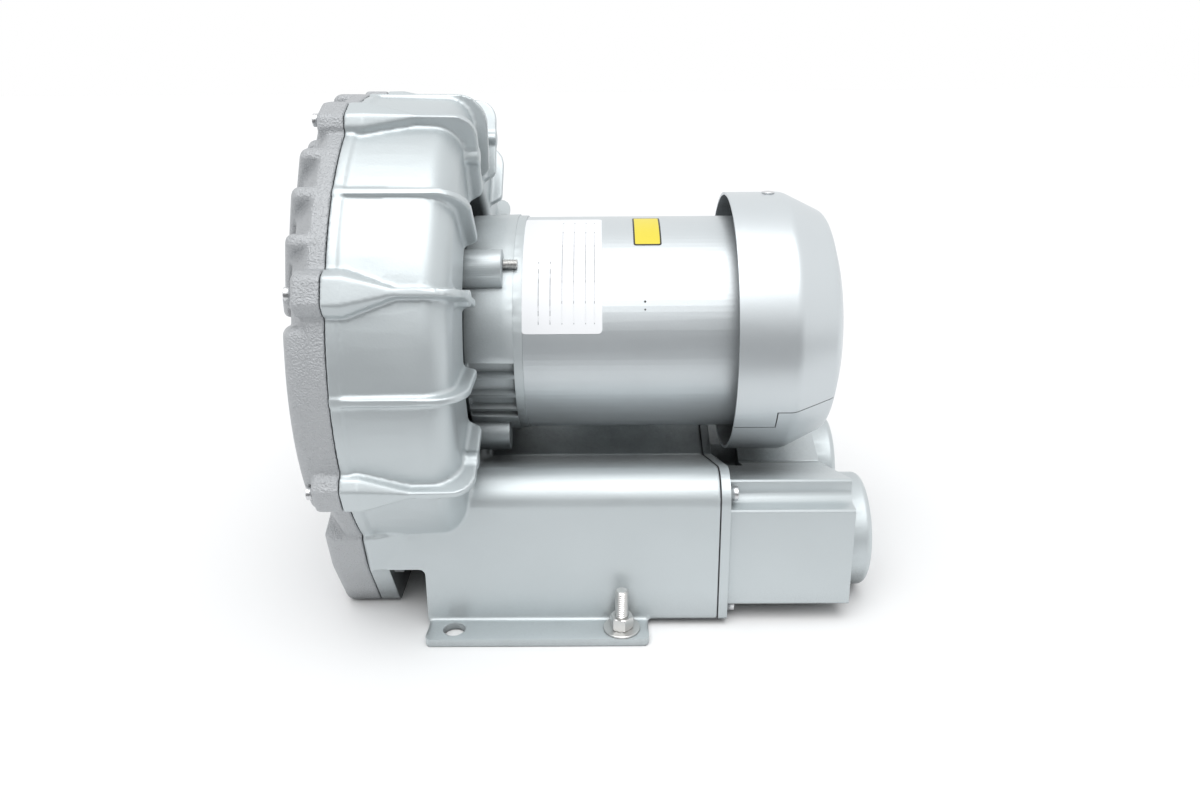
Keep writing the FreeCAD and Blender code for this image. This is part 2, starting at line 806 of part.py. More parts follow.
def silencer_cover():
    """Near end cover: plate, box and threaded port boss in one casting."""
    plate = prism(silencer_outline(), plate_x0, plate_x1)
    box = prism(nozzle_outline(), plate_x1 - 2, nozzle_x1)
    boss = rod(nozzle_x1 - port_land, port_x1, port_boss_r, -port_y, port_z)
    rim = [e for e in boss.Edges if abs(e.CenterOfMass.x - port_x1) < 0.01]
    boss = boss.makeFillet(port_boss_edge_r, rim)
    body = fuse([plate, box, boss])
    body = body.cut(prism(nozzle_outline(nozzle_wall), plate_x0 - 1, nozzle_x1 - port_land))
    body = body.cut(rod(nozzle_x1 - port_land - 1, port_x1 + 1, port_bore_r, -port_y, port_z))
    pocket = prism([
        (-end_screw_mid_y - 8, end_screw_mid_z - 8, 6.0), (-end_screw_mid_y - 8, 120, 0),
        (5, 120, 0), (5, end_screw_mid_z - 8, 0)], plate_x1, plate_x1 + 22)
    web = prism([
        (-end_screw_mid_y - 13, end_screw_mid_z - 13, 6.0), (-end_screw_mid_y - 13, 120, 0),
        (5, 120, 0), (5, end_screw_mid_z - 13, 0)], plate_x0, plate_x1 + 27)
    web = web.common(prism(nozzle_outline(), plate_x0, plate_x1 + 27))
    body = fuse([body, web]).cut(pocket)
    for y, z in end_screw_places():
        body = body.cut(rod(plate_x0 - 1, plate_x1 + 1, end_screw_r + hole_gap, y, z))
        body = body.cut(rod(plate_x1, plate_x1 + 12, end_screw_head_r + 1.0, y, z))
    return body


def silencer_screws():
    screws = []
    for side in (1, -1):
        for y, z in end_screw_places():
            screws.append(socket_screw(plate_x1, chamber_x1 - end_screw_reach + 2, end_screw_r,
                                       end_screw_head_r, end_screw_head_h, side * y, z, 2.9))
    return screws


def silencer_foam():
    """Foam slabs that line the near chamber, clear of the gas path in the middle."""
    x0 = case_back_x + 3
    x1 = chamber_x1 - end_screw_reach - 8
    wall_y = -(chamber_y - chamber_wall - foam_gap)
    mid_y = -(chamber_divider / 2 + foam_gap)
    low_z = chamber_bottom_z + chamber_wall + foam_gap
    room_z = axis_h - case_recess_r - 25.0
    floor = prism([
        (wall_y, low_z, 4.0), (wall_y, low_z + foam_t, 0),
        (mid_y, low_z + foam_t, 0), (mid_y, low_z, 4.0)], x0, x1)
    side = block(x0, x1, wall_y, wall_y + foam_t, low_z + foam_t + foam_gap, chamber_corner_z)
    middle = block(x0, x1, mid_y - foam_t, mid_y, low_z + foam_t + foam_gap, room_z)
    return [floor, side, middle]


def bell_angles():
    return [bell_high_angle, 180 - bell_high_angle, bell_low_angle, 180 - bell_low_angle]


def front_end_bell():
    """End bell: bosses on the case posts, smooth pads, finned recesses and the bearing seat."""
    in_r = bell_r - bell_wall
    hub_out = front_bearing_r + bearing_seat_wall
    seat_x1 = front_bearing_x + front_bearing_w
    shell_in = shell_r - shell_t
    barrel = turned([
        (bell_post_x + 0.5, in_r, 0),
        (bell_post_x + 0.5, bell_r - 1, 2.0),
        (shell_x0 - bell_rim_t, bell_r, 0),
        (shell_x0 - bell_rim_t, bell_rim_r, 0),
        (shell_x0, bell_rim_r, 0),
        (shell_x0, shell_in - seat_gap, 0),
        (shell_x0 + spigot_len, shell_in - seat_gap, 0),
        (shell_x0 + spigot_len, shell_in - spigot_wall, 0),
        (shell_x0, in_r - 3, 0),
        (bell_post_x + 9, in_r - 3, 0),
    ])
    plate = ring(bell_post_x - 10, bell_post_x + 6, front_bearing_r - 4, in_r + 1)
    seat = ring(bell_post_x - 10, seat_x1, front_bearing_r - 4, hub_out)
    solids = [barrel, plate, seat]
    for a in bell_angles():
        y, z = polar(bell_boss_ring_r, a)
        solids.append(rod(bell_post_x, bell_boss_end_x, bell_boss_r, y, z))
    body = fuse(solids)
    tools = [rod(front_bearing_x, seat_x1 + 1, front_bearing_r + fit_gap)]
    slot = [
        (bell_post_x + 2, bell_r - bell_slot_depth + 5, 2.0),
        (shell_x0 - bell_rim_t, bell_r - bell_slot_depth + 5, 2.0),
        (shell_x0 - bell_rim_t, bell_r + 20, 0),
        (bell_post_x + 2, bell_r + 20, 0),
    ]
    for start in (bell_slot_from, 180.0 - bell_pad_from):
        recess = turned(slot, start, bell_pad_from - bell_slot_from)
        for fin_angle in bell_fin_angles:
            angle = fin_angle if start < 0 else 180.0 - fin_angle
            fin = block(bell_post_x, shell_x0, -bell_fin_t / 2, bell_fin_t / 2,
                        axis_h + bell_r - 20, axis_h + bell_r - 1)
            recess = recess.cut(at_angle(fin, angle))
        for a in bell_angles():
            y, z = polar(bell_boss_ring_r, a)
            recess = recess.cut(rod(bell_post_x, bell_boss_end_x, bell_boss_r, y, z))
        tools.append(recess)
    for a in bell_angles():
        y, z = polar(bell_boss_ring_r, a)
        tools.append(rod(bell_post_x - 12, bell_post_x + mount_screw_reach, mount_screw_r + fit_gap, y, z))
    for tool in tools:
        body = body.cut(tool)
    return body


def motor_mount_screws():
    screws = []
    for a in bell_angles():
        y, z = polar(bell_boss_ring_r, a)
        screws.append(socket_screw(mount_seat_x, bell_post_x + mount_screw_reach - 2, mount_screw_r,
                                   mount_screw_head_r, mount_screw_head_h, y, z, 2.9))
    return screws


def motor_shell():
    return ring(shell_x0, shell_x1, shell_r - shell_t, shell_r)


def stator_core():
    body = ring(core_x0, core_x1, stator_bore_r, stator_r)
    for k in range(24):
        tooth_gap = block(core_x0 - 1, core_x1 + 1, -1.4, 1.4, axis_h + stator_bore_r - 2,
                          axis_h + stator_bore_r + 3)
        body = body.cut(at_angle(tooth_gap, 15.0 * k))
    return body


def stator_windings():
    """The two end turns, rings of round section that stand out of the core."""
    coils = []
    for x0, x1 in ((core_x0 - 22, core_x0 - seat_gap), (core_x1 + seat_gap, core_x1 + 22)):
        coils.append(turned([
            (x0, stator_bore_r + 5, 6.0), (x1, stator_bore_r + 5, 6.0),
            (x1, stator_r - 6, 6.0), (x0, stator_r - 6, 6.0)]))
    return coils


def rear_end_bell():
    """Rear end bell: closes the shell, seats the rear bearing and carries the fan cover's lugs."""
    x1 = shell_x1 + rear_bell_t
    shell_in = shell_r - shell_t
    hub_out = rear_bearing_r + bearing_seat_wall
    body = turned([
        (shell_x1 - spigot_len, shell_in - spigot_wall, 0),
        (shell_x1 - spigot_len, shell_in - seat_gap, 0),
        (shell_x1, shell_in - seat_gap, 0),
        (shell_x1, shell_r, 0),
        (x1, shell_r - 2, 3.0),
        (x1, hub_out + 2, 0),
        (x1, shaft_tail_r + 1.5, 0),
        (rear_bearing_x - 4, shaft_tail_r + 1.5, 0),
        (rear_bearing_x - 4, hub_out, 0),
        (shell_x1 + 1, hub_out, 0),
        (shell_x1 + 1, shell_in - spigot_wall, 0),
    ])
    lug = block(shell_x1 + 1, shell_x1 + 1 + cover_lug_len, -cover_lug_w / 2, cover_lug_w / 2,
                axis_h + shell_r - 6, axis_h + fan_cover_r - fan_cover_t - 1.0)
    solids = [body] + [at_angle(lug, a) for a in fan_screw_angles()]
    body = fuse(solids)
    body = body.cut(rod(rear_bearing_x - 5, washer_x() + washer_t + seat_gap,
                        rear_bearing_r + fit_gap))
    for a in fan_screw_angles():
        hole = Part.makeCylinder(fan_screw_r + fit_gap, 40,
                                 V(fan_screw_x(), 0, axis_h + shell_r - 2), V(0, 0, 1))
        body = body.cut(at_angle(hole, a))
    return body


def fan_screw_angles():
    return [90.0, 180.0, 270.0]


def fan_screw_x():
    return shell_x1 + 1 + cover_lug_len - fan_screw_inset


def washer_x():
    return rear_bearing_x + rear_bearing_w + seat_gap


def fan_cover_profile(inset=0.0):
    """Profile of the fan cover: cylinder, cone and rounded shoulder, in (x, radius)."""
    return [
        (fan_cover_x0 - (1 if inset else 0), 0, 0),
        (fan_cover_x0 - (1 if inset else 0), fan_cover_r - inset, 0),
        (fan_cover_cone_x, fan_cover_r - inset, 14.0),
        (fan_cover_shoulder_x - 0.4 * inset, fan_cover_shoulder_r - inset, 8.0),
        (fan_cover_end_x - inset, fan_cover_shoulder_r - 16, 5.0),
        (fan_cover_end_x - inset, 0, 0),
    ]


def segment_zone(gap=0.0):
    """Space of the lower segment: wider behind the step than in front of it."""
    low = segment_low_angle + gap
    high = segment_high_angle + gap
    span_low = 2 * (90.0 + low)
    span_high = 2 * (90.0 + high)
    front = turned([(fan_cover_x0 - 5, 40, 0), (segment_step_x + 1, 40, 0),
                    (segment_step_x + 1, 120, 0), (fan_cover_x0 - 5, 120, 0)],
                   -90.0 - span_low / 2, span_low)
    rear_x = segment_step_x - (segment_gap if gap else 0.0)
    rear = turned([(rear_x, 52, 0), (fan_cover_end_x - 6, 52, 0),
                   (fan_cover_end_x - 6, 120, 0), (rear_x, 120, 0)],
                  -90.0 - span_high / 2, span_high)
    return front.fuse(rear).removeSplitter()


def fan_cover_shell():
    return turned(fan_cover_profile()).cut(turned(fan_cover_profile(fan_cover_t)))


def fan_cover():
    """Cover with its grille of ring slots and the opening for the lower segment."""
    body = fan_cover_shell()
    gap_angle = math.degrees(segment_gap / fan_cover_r)
    body = body.cut(segment_zone(gap_angle))
    for k in range(grille_rings):
        r0 = grille_r0 + k * grille_pitch
        slots = ring(fan_cover_end_x - 8, fan_cover_end_x + 2, r0, r0 + grille_slot_w)
        for s in range(grille_spokes // 2):
            spoke = block(fan_cover_end_x - 9, fan_cover_end_x + 3, -grille_spoke_w / 2,
                          grille_spoke_w / 2, axis_h - 100, axis_h + 100)
            slots = slots.cut(at_angle(spoke, 360.0 * s / grille_spokes))
        body = body.cut(slots)
    return cut_fan_screws(body)


def cut_fan_screws(body):
    for a in fan_screw_angles():
        hole = Part.makeCylinder(fan_screw_r + hole_gap, 30,
                                 V(fan_screw_x(), 0, axis_h + fan_cover_r - 10), V(0, 0, 1))
        body = body.cut(at_angle(hole, a))
    return body


def fan_cover_segment():
    return cut_fan_screws(fan_cover_shell().common(segment_zone()))


def fan_cover_screws():
    """Low-headed screws that hold the fan cover and its lower segment on the lugs."""
    screws = []
    for a in fan_screw_angles():
        top = axis_h + fan_cover_r + seat_gap
        head = Part.makeCylinder(fan_screw_head_r, fan_screw_head_h, V(fan_screw_x(), 0, top), V(0, 0, 1))
        edge = [e for e in head.Edges if abs(e.CenterOfMass.z - top - fan_screw_head_h) < 0.01]
        head = head.makeFillet(fan_screw_head_h / 2, edge)
        shank = Part.makeCylinder(fan_screw_r, 14.0, V(fan_screw_x(), 0, top - 13.9), V(0, 0, 1))
        screws.append(at_angle(head.fuse(shank).removeSplitter(), a))
    return screws


def motor_shaft():
    """Stepped shaft: impeller nose, seal and bearing seats, rotor body and fan tail."""
    nose_x = hub_x0 + 2.0
    shoulder_x = hub_x1 + shim_t
    seat_x1 = front_bearing_x + front_bearing_w
    tail_x = rear_bearing_x
    end_x = fan_x + fan_w + 8
    shaft = turned([
        (nose_x, 0, 0),
        (nose_x, shaft_nose_r - fit_gap, 0.8),
        (shoulder_x, shaft_nose_r - fit_gap, 0),
        (shoulder_x, shaft_r, 0),
        (seat_x1, shaft_r, 0),
        (seat_x1, shaft_core_r, 0),
        (core_x1 + 24, shaft_core_r, 0),
        (core_x1 + 24, shaft_rear_r, 0),
        (tail_x, shaft_rear_r, 0),
        (tail_x, shaft_tail_r, 0),
        (end_x, shaft_tail_r, 0.8),
        (end_x, 0, 0),
    ])
    thread = rod(nose_x - 1, nose_x + 22, 4.0 + fit_gap)
    key = block(hub_x0 + 5, hub_x1 - 3, -3.0, 3.0, axis_h + 6.0, axis_h + 20)
    groove = ring(fan_x + fan_w + 2, fan_x + fan_w + 3.6, shaft_tail_r - 1.0, shaft_tail_r + 2)
    return shaft.cut(thread).cut(key).cut(groove)


def rotor_core():
    body = ring(core_x0, core_x1, shaft_core_r + fit_gap, rotor_core_r)
    cages = [ring(x, x + 8, 28.0, rotor_core_r - 2) for x in (core_x0 - 8, core_x1)]
    return fuse([body] + cages)


def impeller():
    """Wheel with scooped pockets on both sides of its rim, between leaning vanes."""
    half = impeller_w / 2
    disc = turned([
        (impeller_mid_x - impeller_disc_t / 2, impeller_hub_r - 1, 0),
        (impeller_mid_x + impeller_disc_t / 2, impeller_hub_r - 1, 0),
        (impeller_mid_x + impeller_disc_t / 2, impeller_ring_r - 8, 5.0),
        (impeller_x1, impeller_ring_r - 6, 1.5),
        (impeller_x1, impeller_ring_r, 0.5),
        (impeller_mid_x + crest_t / 2, impeller_ring_r + 16, 14.0),
        (impeller_mid_x + crest_t / 2, impeller_r, 0.8),
        (impeller_mid_x - crest_t / 2, impeller_r, 0.8),
        (impeller_mid_x - crest_t / 2, impeller_ring_r + 16, 14.0),
        (impeller_x0, impeller_ring_r, 0.5),
        (impeller_x0, impeller_ring_r - 6, 1.5),
        (impeller_mid_x - impeller_disc_t / 2, impeller_ring_r - 8, 5.0),
    ])
    hub = turned([
        (hub_x0, shaft_nose_r, 0.6), (hub_x1, shaft_nose_r, 0.6),
        (hub_x1, impeller_hub_r, 2.0), (hub_x0, impeller_hub_r, 2.0)])
    lean = math.tan(math.radians(vane_lean))
    reach = impeller_r - impeller_ring_r + 2

    def vane_edge(offset):
        start = V(impeller_x0, offset, axis_h + impeller_ring_r - 2)
        middle = start + V(0, reach * lean / 2 - vane_bend, reach / 2)
        end = V(impeller_x0, offset + reach * lean, axis_h + impeller_r - 0.6)
        return start, middle, end

    a, b = vane_edge(-vane_t / 2), vane_edge(vane_t / 2)
    wire = Part.Wire([
        Part.Arc(*a).toShape(), Part.makeLine(a[2], b[2]),
        Part.Arc(*b).toShape(), Part.makeLine(b[0], a[0])])
    vane = Part.Face(wire).extrude(V(impeller_w, 0, 0))
    vane = vane.common(rod(impeller_x0 - 1, impeller_x1 + 1, impeller_r))
    vanes = [at_angle(vane, 360.0 * k / vane_count) for k in range(vane_count)]
    body = fuse([disc, hub] + vanes)
    keyway = block(hub_x0 - 1, hub_x1 + 1, -3.0 - fit_gap, 3.0 + fit_gap, axis_h, axis_h + 12.3)
    body = body.cut(keyway)
    for k in range(6):
        hole = rod(impeller_mid_x - 20, impeller_mid_x + 20, 6.0, *polar(62.0, 60.0 * k))
        body = body.cut(hole)
    return body


def impeller_key():
    return block(hub_x0 + 5, hub_x1 - 3, -3.0, 3.0, axis_h + 6.0 + fit_gap, axis_h + 12.0)


def impeller_shims():
    return ring(hub_x1, hub_x1 + shim_t, shaft_nose_r + fit_gap, shaft_r + 1.5)


def impeller_bolt():
    """Bolt in the end of the shaft, with hexagon head."""
    head_x = hub_x0 - 3.0
    points = [V(head_x - 5, *polar(7.5, 60.0 * k)) for k in range(7)]
    head = Part.Face(Part.makePolygon(points)).extrude(V(5, 0, 0))
    return head.fuse(rod(head_x, head_x + 24, 4.0)).removeSplitter()


def impeller_washer():
    return ring(hub_x0 - 3.0, hub_x0, 4.0 + hole_gap, 15.0)


def shaft_seal():
    """Lip seal in the case web: steel-cased ring with a rubber lip round the shaft."""
    x0 = web_back_x - seal_w - 1
    x1 = web_back_x - 1
    lip = shaft_r + fit_gap
    return turned([
        (x0, seal_r, 0), (x1, seal_r, 0), (x1, lip + 3.5, 1.0), (x1 - 2, lip + 3.5, 0),
        (x1 - 3, lip, 0), (x1 - 4.2, lip, 0), (x0 + 1.5, lip + 2.5, 0), (x0 + 1.5, seal_r - 2, 1.0),
        (x0, seal_r - 2, 0)])


def bearing(x, width, r_in, r_out, balls):
    """Deep-groove ball bearing: outer ring, inner ring and balls."""
    mid_r = (r_in + r_out) / 2
    ball_r = (r_out - r_in) * 0.27
    mid_x = x + width / 2
    race = Part.makeTorus(mid_r, ball_r + 0.06, axis_point(mid_x), V(1, 0, 0))
    outer = ring(x, x + width, mid_r + ball_r * 0.6, r_out).cut(race)
    inner = ring(x, x + width, r_in, mid_r - ball_r * 0.6).cut(race)
    group = []
    for k in range(balls):
        y, z = polar(mid_r, 360.0 * k / balls)
        group.append(Part.makeSphere(ball_r, V(mid_x, y, z)))
    return outer, inner, group


def wave_washer():
    return ring(washer_x(), washer_x() + washer_t, rear_bearing_r - 4, rear_bearing_r - 0.3)


def cooling_fan():
    disc = turned([
        (fan_x, shaft_tail_r + fit_gap, 0), (fan_x + fan_w, shaft_tail_r + fit_gap, 0),
        (fan_x + fan_w, fan_hub_r - 3, 1.0), (fan_x + 4, fan_hub_r, 3.0),
        (fan_x + 2.5, fan_r, 0), (fan_x, fan_r, 0)])
    blades = []
    for k in range(fan_blades):
        corners = [
            (fan_x + 1, fan_hub_r - 5, 0), (fan_x + fan_w - 2, fan_hub_r - 5, 0),
            (fan_x + fan_w - 2, fan_r - 4, 8.0), (fan_x + 1, fan_r, 0)]
        face = rounded_face(corners, xr)
        face.translate(V(0, -fan_blade_t / 2, 0))
        blades.append(at_angle(face.extrude(V(0, fan_blade_t, 0)), 360.0 * k / fan_blades))
    return fuse([disc] + blades)


def fan_ring():
    x0 = fan_x + fan_w + 2.2
    body = ring(x0, x0 + 1.2, shaft_tail_r - 0.9, shaft_tail_r + 2.4)
    return body.cut(block(x0 - 1, x0 + 3, -2.5, 2.5, axis_h, axis_h + 14))


def box_outline(inset=0.0):
    half_x = box_len / 2 - inset
    half_z = box_h / 2 - inset
    radius = max(box_corner_r - inset, 1.0)
    return [
        (box_x - half_x, axis_h - half_z, radius), (box_x + half_x, axis_h - half_z, radius),
        (box_x + half_x, axis_h + half_z, radius), (box_x - half_x, axis_h + half_z, radius)]


def box_prism(inset, y0, y1):
    return rounded_face(box_outline(inset), lambda a, b: V(a, y0, b)).extrude(V(0, y1 - y0, 0))


def lid_screw_places():
    dx = box_len / 2 - 8.0
    dz = box_h / 2 - 8.0
    return [(box_x + i * dx, axis_h + k * dz) for i in (-1, 1) for k in (-1, 1)]


def box_rim_y():
    return shell_r + box_reach


def terminal_box():
    """Box saddled on the far side of the shell, open towards its lid."""
    body = box_prism(0, shell_r - 30, box_rim_y())
    floor_y = shell_r + box_wall
    hollow = box_prism(box_wall, floor_y, box_rim_y() + 1)
    for x, z in lid_screw_places():
        hollow = hollow.cut(Part.makeCylinder(5.0, box_reach + 10, V(x, floor_y - 5, z), V(0, 1, 0)))
    body = body.cut(hollow).cut(rod(-50, 200, shell_r + seat_gap))
    entry = Part.makeCylinder(cable_entry_r, box_wall + 2,
                              V(box_x, box_entry_y(), axis_h + box_h / 2 - box_wall - 1), V(0, 0, 1))
    body = body.cut(entry)
    for x, z in lid_screw_places():
        body = body.cut(Part.makeCylinder(lid_screw_r + fit_gap, 14, V(x, box_rim_y() - 12, z), V(0, 1, 0)))
    return body


def box_entry_y():
    return shell_r + box_wall + (box_reach - box_wall) / 2


def terminal_box_gasket():
    y0 = box_rim_y()
    body = box_prism(0.5, y0, y0 + lid_gasket_t).cut(box_prism(box_wall, y0 - 1, y0 + 3))
    for x, z in lid_screw_places():
        pad = Part.makeCylinder(5.0, lid_gasket_t, V(x, y0, z), V(0, 1, 0))
        body = body.fuse(pad)
    body = body.common(box_prism(0.5, y0, y0 + lid_gasket_t))
    for x, z in lid_screw_places():
        body = body.cut(Part.makeCylinder(lid_screw_r + hole_gap, 4, V(x, y0 - 1, z), V(0, 1, 0)))
    return body.removeSplitter()


def terminal_box_lid():
    y0 = box_rim_y() + lid_gasket_t
    body = box_prism(0, y0, y0 + lid_t)
    edge = [e for e in body.Edges if e.BoundBox.YMin > y0 + lid_t - 0.01]
    body = body.makeFillet(1.5, edge)
    for x, z in lid_screw_places():
        body = body.cut(Part.makeCylinder(lid_screw_r + hole_gap, 20, V(x, y0 - 1, z), V(0, 1, 0)))
    return body


def terminal_lid_screws():
    screws = []
    y0 = box_rim_y() + lid_gasket_t + lid_t
    for x, z in lid_screw_places():
        head = Part.makeCylinder(lid_screw_head_r, lid_screw_head_h, V(x, y0, z), V(0, 1, 0))
        edge = [e for e in head.Edges if e.BoundBox.YMin > y0 + lid_screw_head_h - 0.01]
        head = head.makeFillet(0.8, edge)
        shank = Part.makeCylinder(lid_screw_r, 14, V(x, y0 - 14, z), V(0, 1, 0))
        screws.append(head.fuse(shank).removeSplitter())
    return screws


def terminal_block():
    """Moulded block with three studs and nuts for the supply wires."""
    y0 = shell_r + box_wall
    body = block(box_x - 30, box_x + 30, y0, y0 + 12, axis_h - 13, axis_h + 13)
    studs = []
    for k in (-1, 0, 1):
        wall = block(box_x + k * 20 + 9, box_x + k * 20 + 11, y0 + 2, y0 + 18, axis_h - 13, axis_h + 13)
        if k < 1:
            body = body.fuse(wall)
        stud = Part.makeCylinder(2.5, 12, V(box_x + k * 20, y0 + 12, axis_h), V(0, 1, 0))
        nut = Part.makeCylinder(4.6, 4, V(box_x + k * 20, y0 + 12, axis_h), V(0, 1, 0))
        studs.append(stud.fuse(nut).removeSplitter())
    return [body.removeSplitter()], studs


def write(name, shapes):
    """Writes one node; a list of solids becomes one compound."""
    shapes = shapes if isinstance(shapes, list) else [shapes]
    solids = [s for shape in shapes for s in shape.Solids]
    shape = solids[0] if len(solids) == 1 else Part.makeCompound(solids)
    if not shape.isValid():
        print("not valid:", name)
    shape.exportStep("parts/" + name + ".step")
    volume = sum(s.Volume for s in solids) / 1000.0
    print(f"{name:28s} solids {len(solids):3d}  volume {volume:9.2f} cm3")


def main():
    os.makedirs("parts", exist_ok=True)
    write("impeller_housing", impeller_housing())
    write("silencer_body", silencer_body())
    write("impeller_cover", impeller_cover())
    write("cover_screws", cover_screws())
    gasket, end_cover, foam = silencer_gasket(), silencer_cover(), silencer_foam()
    write("near_silencer_gasket", gasket)
    write("far_silencer_gasket", mirror_y(gasket))
    write("near_port_cover", end_cover)
    write("far_port_cover", mirror_y(end_cover))
    write("near_silencer_foam", foam)
    write("far_silencer_foam", [mirror_y(s) for s in foam])
    write("port_cover_screws", silencer_screws())
    write("front_end_bell", front_end_bell())
    write("motor_mount_screws", motor_mount_screws())
    write("motor_shell", motor_shell())
    write("stator_core", stator_core())
    write("stator_windings", stator_windings())
    write("rear_end_bell", rear_end_bell())
    write("fan_cover", fan_cover())
    write("fan_cover_lower_segment", fan_cover_segment())
    write("fan_cover_screws", fan_cover_screws())
    write("motor_shaft", motor_shaft())
    write("rotor_core", rotor_core())
    write("impeller", impeller())
    write("impeller_key", impeller_key())
    write("impeller_shims", impeller_shims())
    write("impeller_bolt", impeller_bolt())
    write("impeller_washer", impeller_washer())
    write("shaft_seal", shaft_seal())
    outer, inner, balls = bearing(front_bearing_x, front_bearing_w, shaft_r + fit_gap, front_bearing_r, 9)
    write("front_bearing_outer_ring", outer)
    write("front_bearing_inner_ring", inner)
    write("front_bearing_balls", balls)
    outer, inner, balls = bearing(rear_bearing_x, rear_bearing_w, shaft_tail_r + fit_gap, rear_bearing_r, 8)
    write("rear_bearing_outer_ring", outer)
    write("rear_bearing_inner_ring", inner)
    write("rear_bearing_balls", balls)
    write("wave_washer", wave_washer())
    write("cooling_fan", cooling_fan())
    write("fan_retaining_ring", fan_ring())
    write("terminal_box", terminal_box())
    write("terminal_box_gasket", terminal_box_gasket())
    write("terminal_box_lid", terminal_box_lid())
    write("terminal_lid_screws", terminal_lid_screws())
    base, studs = terminal_block()
    write("terminal_block", base)
    write("terminal_studs", studs)


main()
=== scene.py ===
import bpy
import bmesh
import json
import math
import numpy as np
from mathutils import Matrix, Vector


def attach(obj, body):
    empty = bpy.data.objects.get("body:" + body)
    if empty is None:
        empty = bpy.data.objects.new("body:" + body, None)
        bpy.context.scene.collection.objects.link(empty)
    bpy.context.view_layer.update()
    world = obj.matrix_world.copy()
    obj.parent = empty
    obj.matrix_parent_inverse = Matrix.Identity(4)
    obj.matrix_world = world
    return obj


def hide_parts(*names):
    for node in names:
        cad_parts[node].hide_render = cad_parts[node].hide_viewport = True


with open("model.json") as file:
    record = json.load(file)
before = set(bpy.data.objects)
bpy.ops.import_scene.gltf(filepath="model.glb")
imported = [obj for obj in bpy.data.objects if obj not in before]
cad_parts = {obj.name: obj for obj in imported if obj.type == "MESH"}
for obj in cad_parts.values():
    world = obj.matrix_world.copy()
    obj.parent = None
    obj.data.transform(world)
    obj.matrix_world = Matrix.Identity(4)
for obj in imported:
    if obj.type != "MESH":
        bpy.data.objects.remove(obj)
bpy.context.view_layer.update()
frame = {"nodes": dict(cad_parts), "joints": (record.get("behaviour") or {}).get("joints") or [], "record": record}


# Settings: sizes of the object in millimetres and angles in degrees; camera and studio in metres

MM = 0.001
FULL_TURN = 2.0 * np.pi

# Points nearer than these are joined and shorter edges dropped, in metres: CAD meshes, and small pieces
CAD_JOIN, CAD_SHORTEST = 2e-6, 1e-6
POLE_JOIN, POLE_SHORTEST = 1e-6, 1e-7

# Camera at the photograph's viewing angle, for an image of 1200 by 800 pixels
IMAGE_WIDTH = 1200.0
FOCAL_PIXELS = 958.33
CENTRE_OFFSET_PIXELS = (-0.31, -52.29)
CAMERA_PLACE = (0.0465, -0.6946, 0.3949)
CAMERA_YAW = 0.27
CAMERA_PITCH = 18.25
CAMERA_ROLL = 0.44
SENSOR_WIDTH = 36.0
CLIP_START = 0.01

# Studio: floor, world, sun, and two grey cards, one lying in front of the object and one standing
FLOOR_REACH = 6.0
FLOOR_COLOUR = (0.93, 0.93, 0.93)
SURFACE_ROUGHNESS = (0.87, 0.93)
SURFACE_PATCH_SCALE = 3.0
WORLD_STRENGTH = 0.60
WORLD_TINT = (0.97, 0.985, 1.0, 1.0)
SEEN_WHITE = (1.0, 1.0, 1.0, 1.0)
SUN_STRENGTH = 1.9
SUN_SPREAD = 60.0
SUN_DIRECTION = (0.05, 0.45, -1.0)
CARD_LEFT, CARD_RIGHT = -2.5, 2.5
CARD_NEAR_Y = -0.42
CARD_FAR_Y = -2.5
CARD_BOTTOM = 0.002
CARD_TOP = 0.85
LYING_CARD_GREY = (0.07, 0.07, 0.075)
STANDING_CARD_GREY = (0.05, 0.05, 0.055)

# Edges and castings; a casting is thinned to the share of its faces that it keeps
BEVELS = {
    "near_port_cover": 0.8, "far_port_cover": 0.8,
    "front_end_bell": 0.5, "terminal_box": 0.4,
}
BEVEL_SEGMENTS = 2
CREASE_ANGLE = 32.0
CASTING_CREASE_ANGLE = 60.0
WALL_GROWTH = 0.5
GROWTH_LEFT = 0.06
FLOW_SHARE = 0.5
FLOW_PASSES = 3
SAND_CAST = {
    "cover_casting": {"nodes": ["impeller_cover"], "voxel": 1.2, "keep": 0.28},
    "case_casting": {"nodes": ["impeller_housing", "silencer_body"], "voxel": 1.25, "keep": 0.17},
}

# Films on the motor shell: places along X, and angles above the near side's middle line. A rule is its X
# and the angle where it ends; a dark dot of painted shade for a dimple in the shell is its angle and half its
# width
AXIS_HEIGHT = frame["joints"][0]["pos_m"][2] / MM
SHELL_RADIUS = 78.5
FILM_SEAT = 0.02
PLATE = {"x_span": (-9.5, 45.5), "angle_span": (10.4, 86.0), "corner": 3.0, "lift": 0.30}
RULE_WIDTH = 0.45
RULE_START = 15.0
RULES = [(2.0, 48.0), (10.0, 48.0), (18.0, 80.0), (26.0, 80.0), (34.0, 80.0), (40.0, 80.0)]
SIGN_BORDER = {"x_span": (67.5, 87.0), "angle_span": (58.5, 88.0), "corner": 1.7, "lift": 0.24}
SIGN_FACE = {"x_span": (68.6, 85.9), "angle_span": (59.3, 87.2), "corner": 0.9, "lift": 0.30}
# Dark dots of painted shade where the shell has a dimple
DIMPLE_X = 74.5
DIMPLE_SHADE_DOTS = [(26.2, 0.75), (22.2, 0.6)]

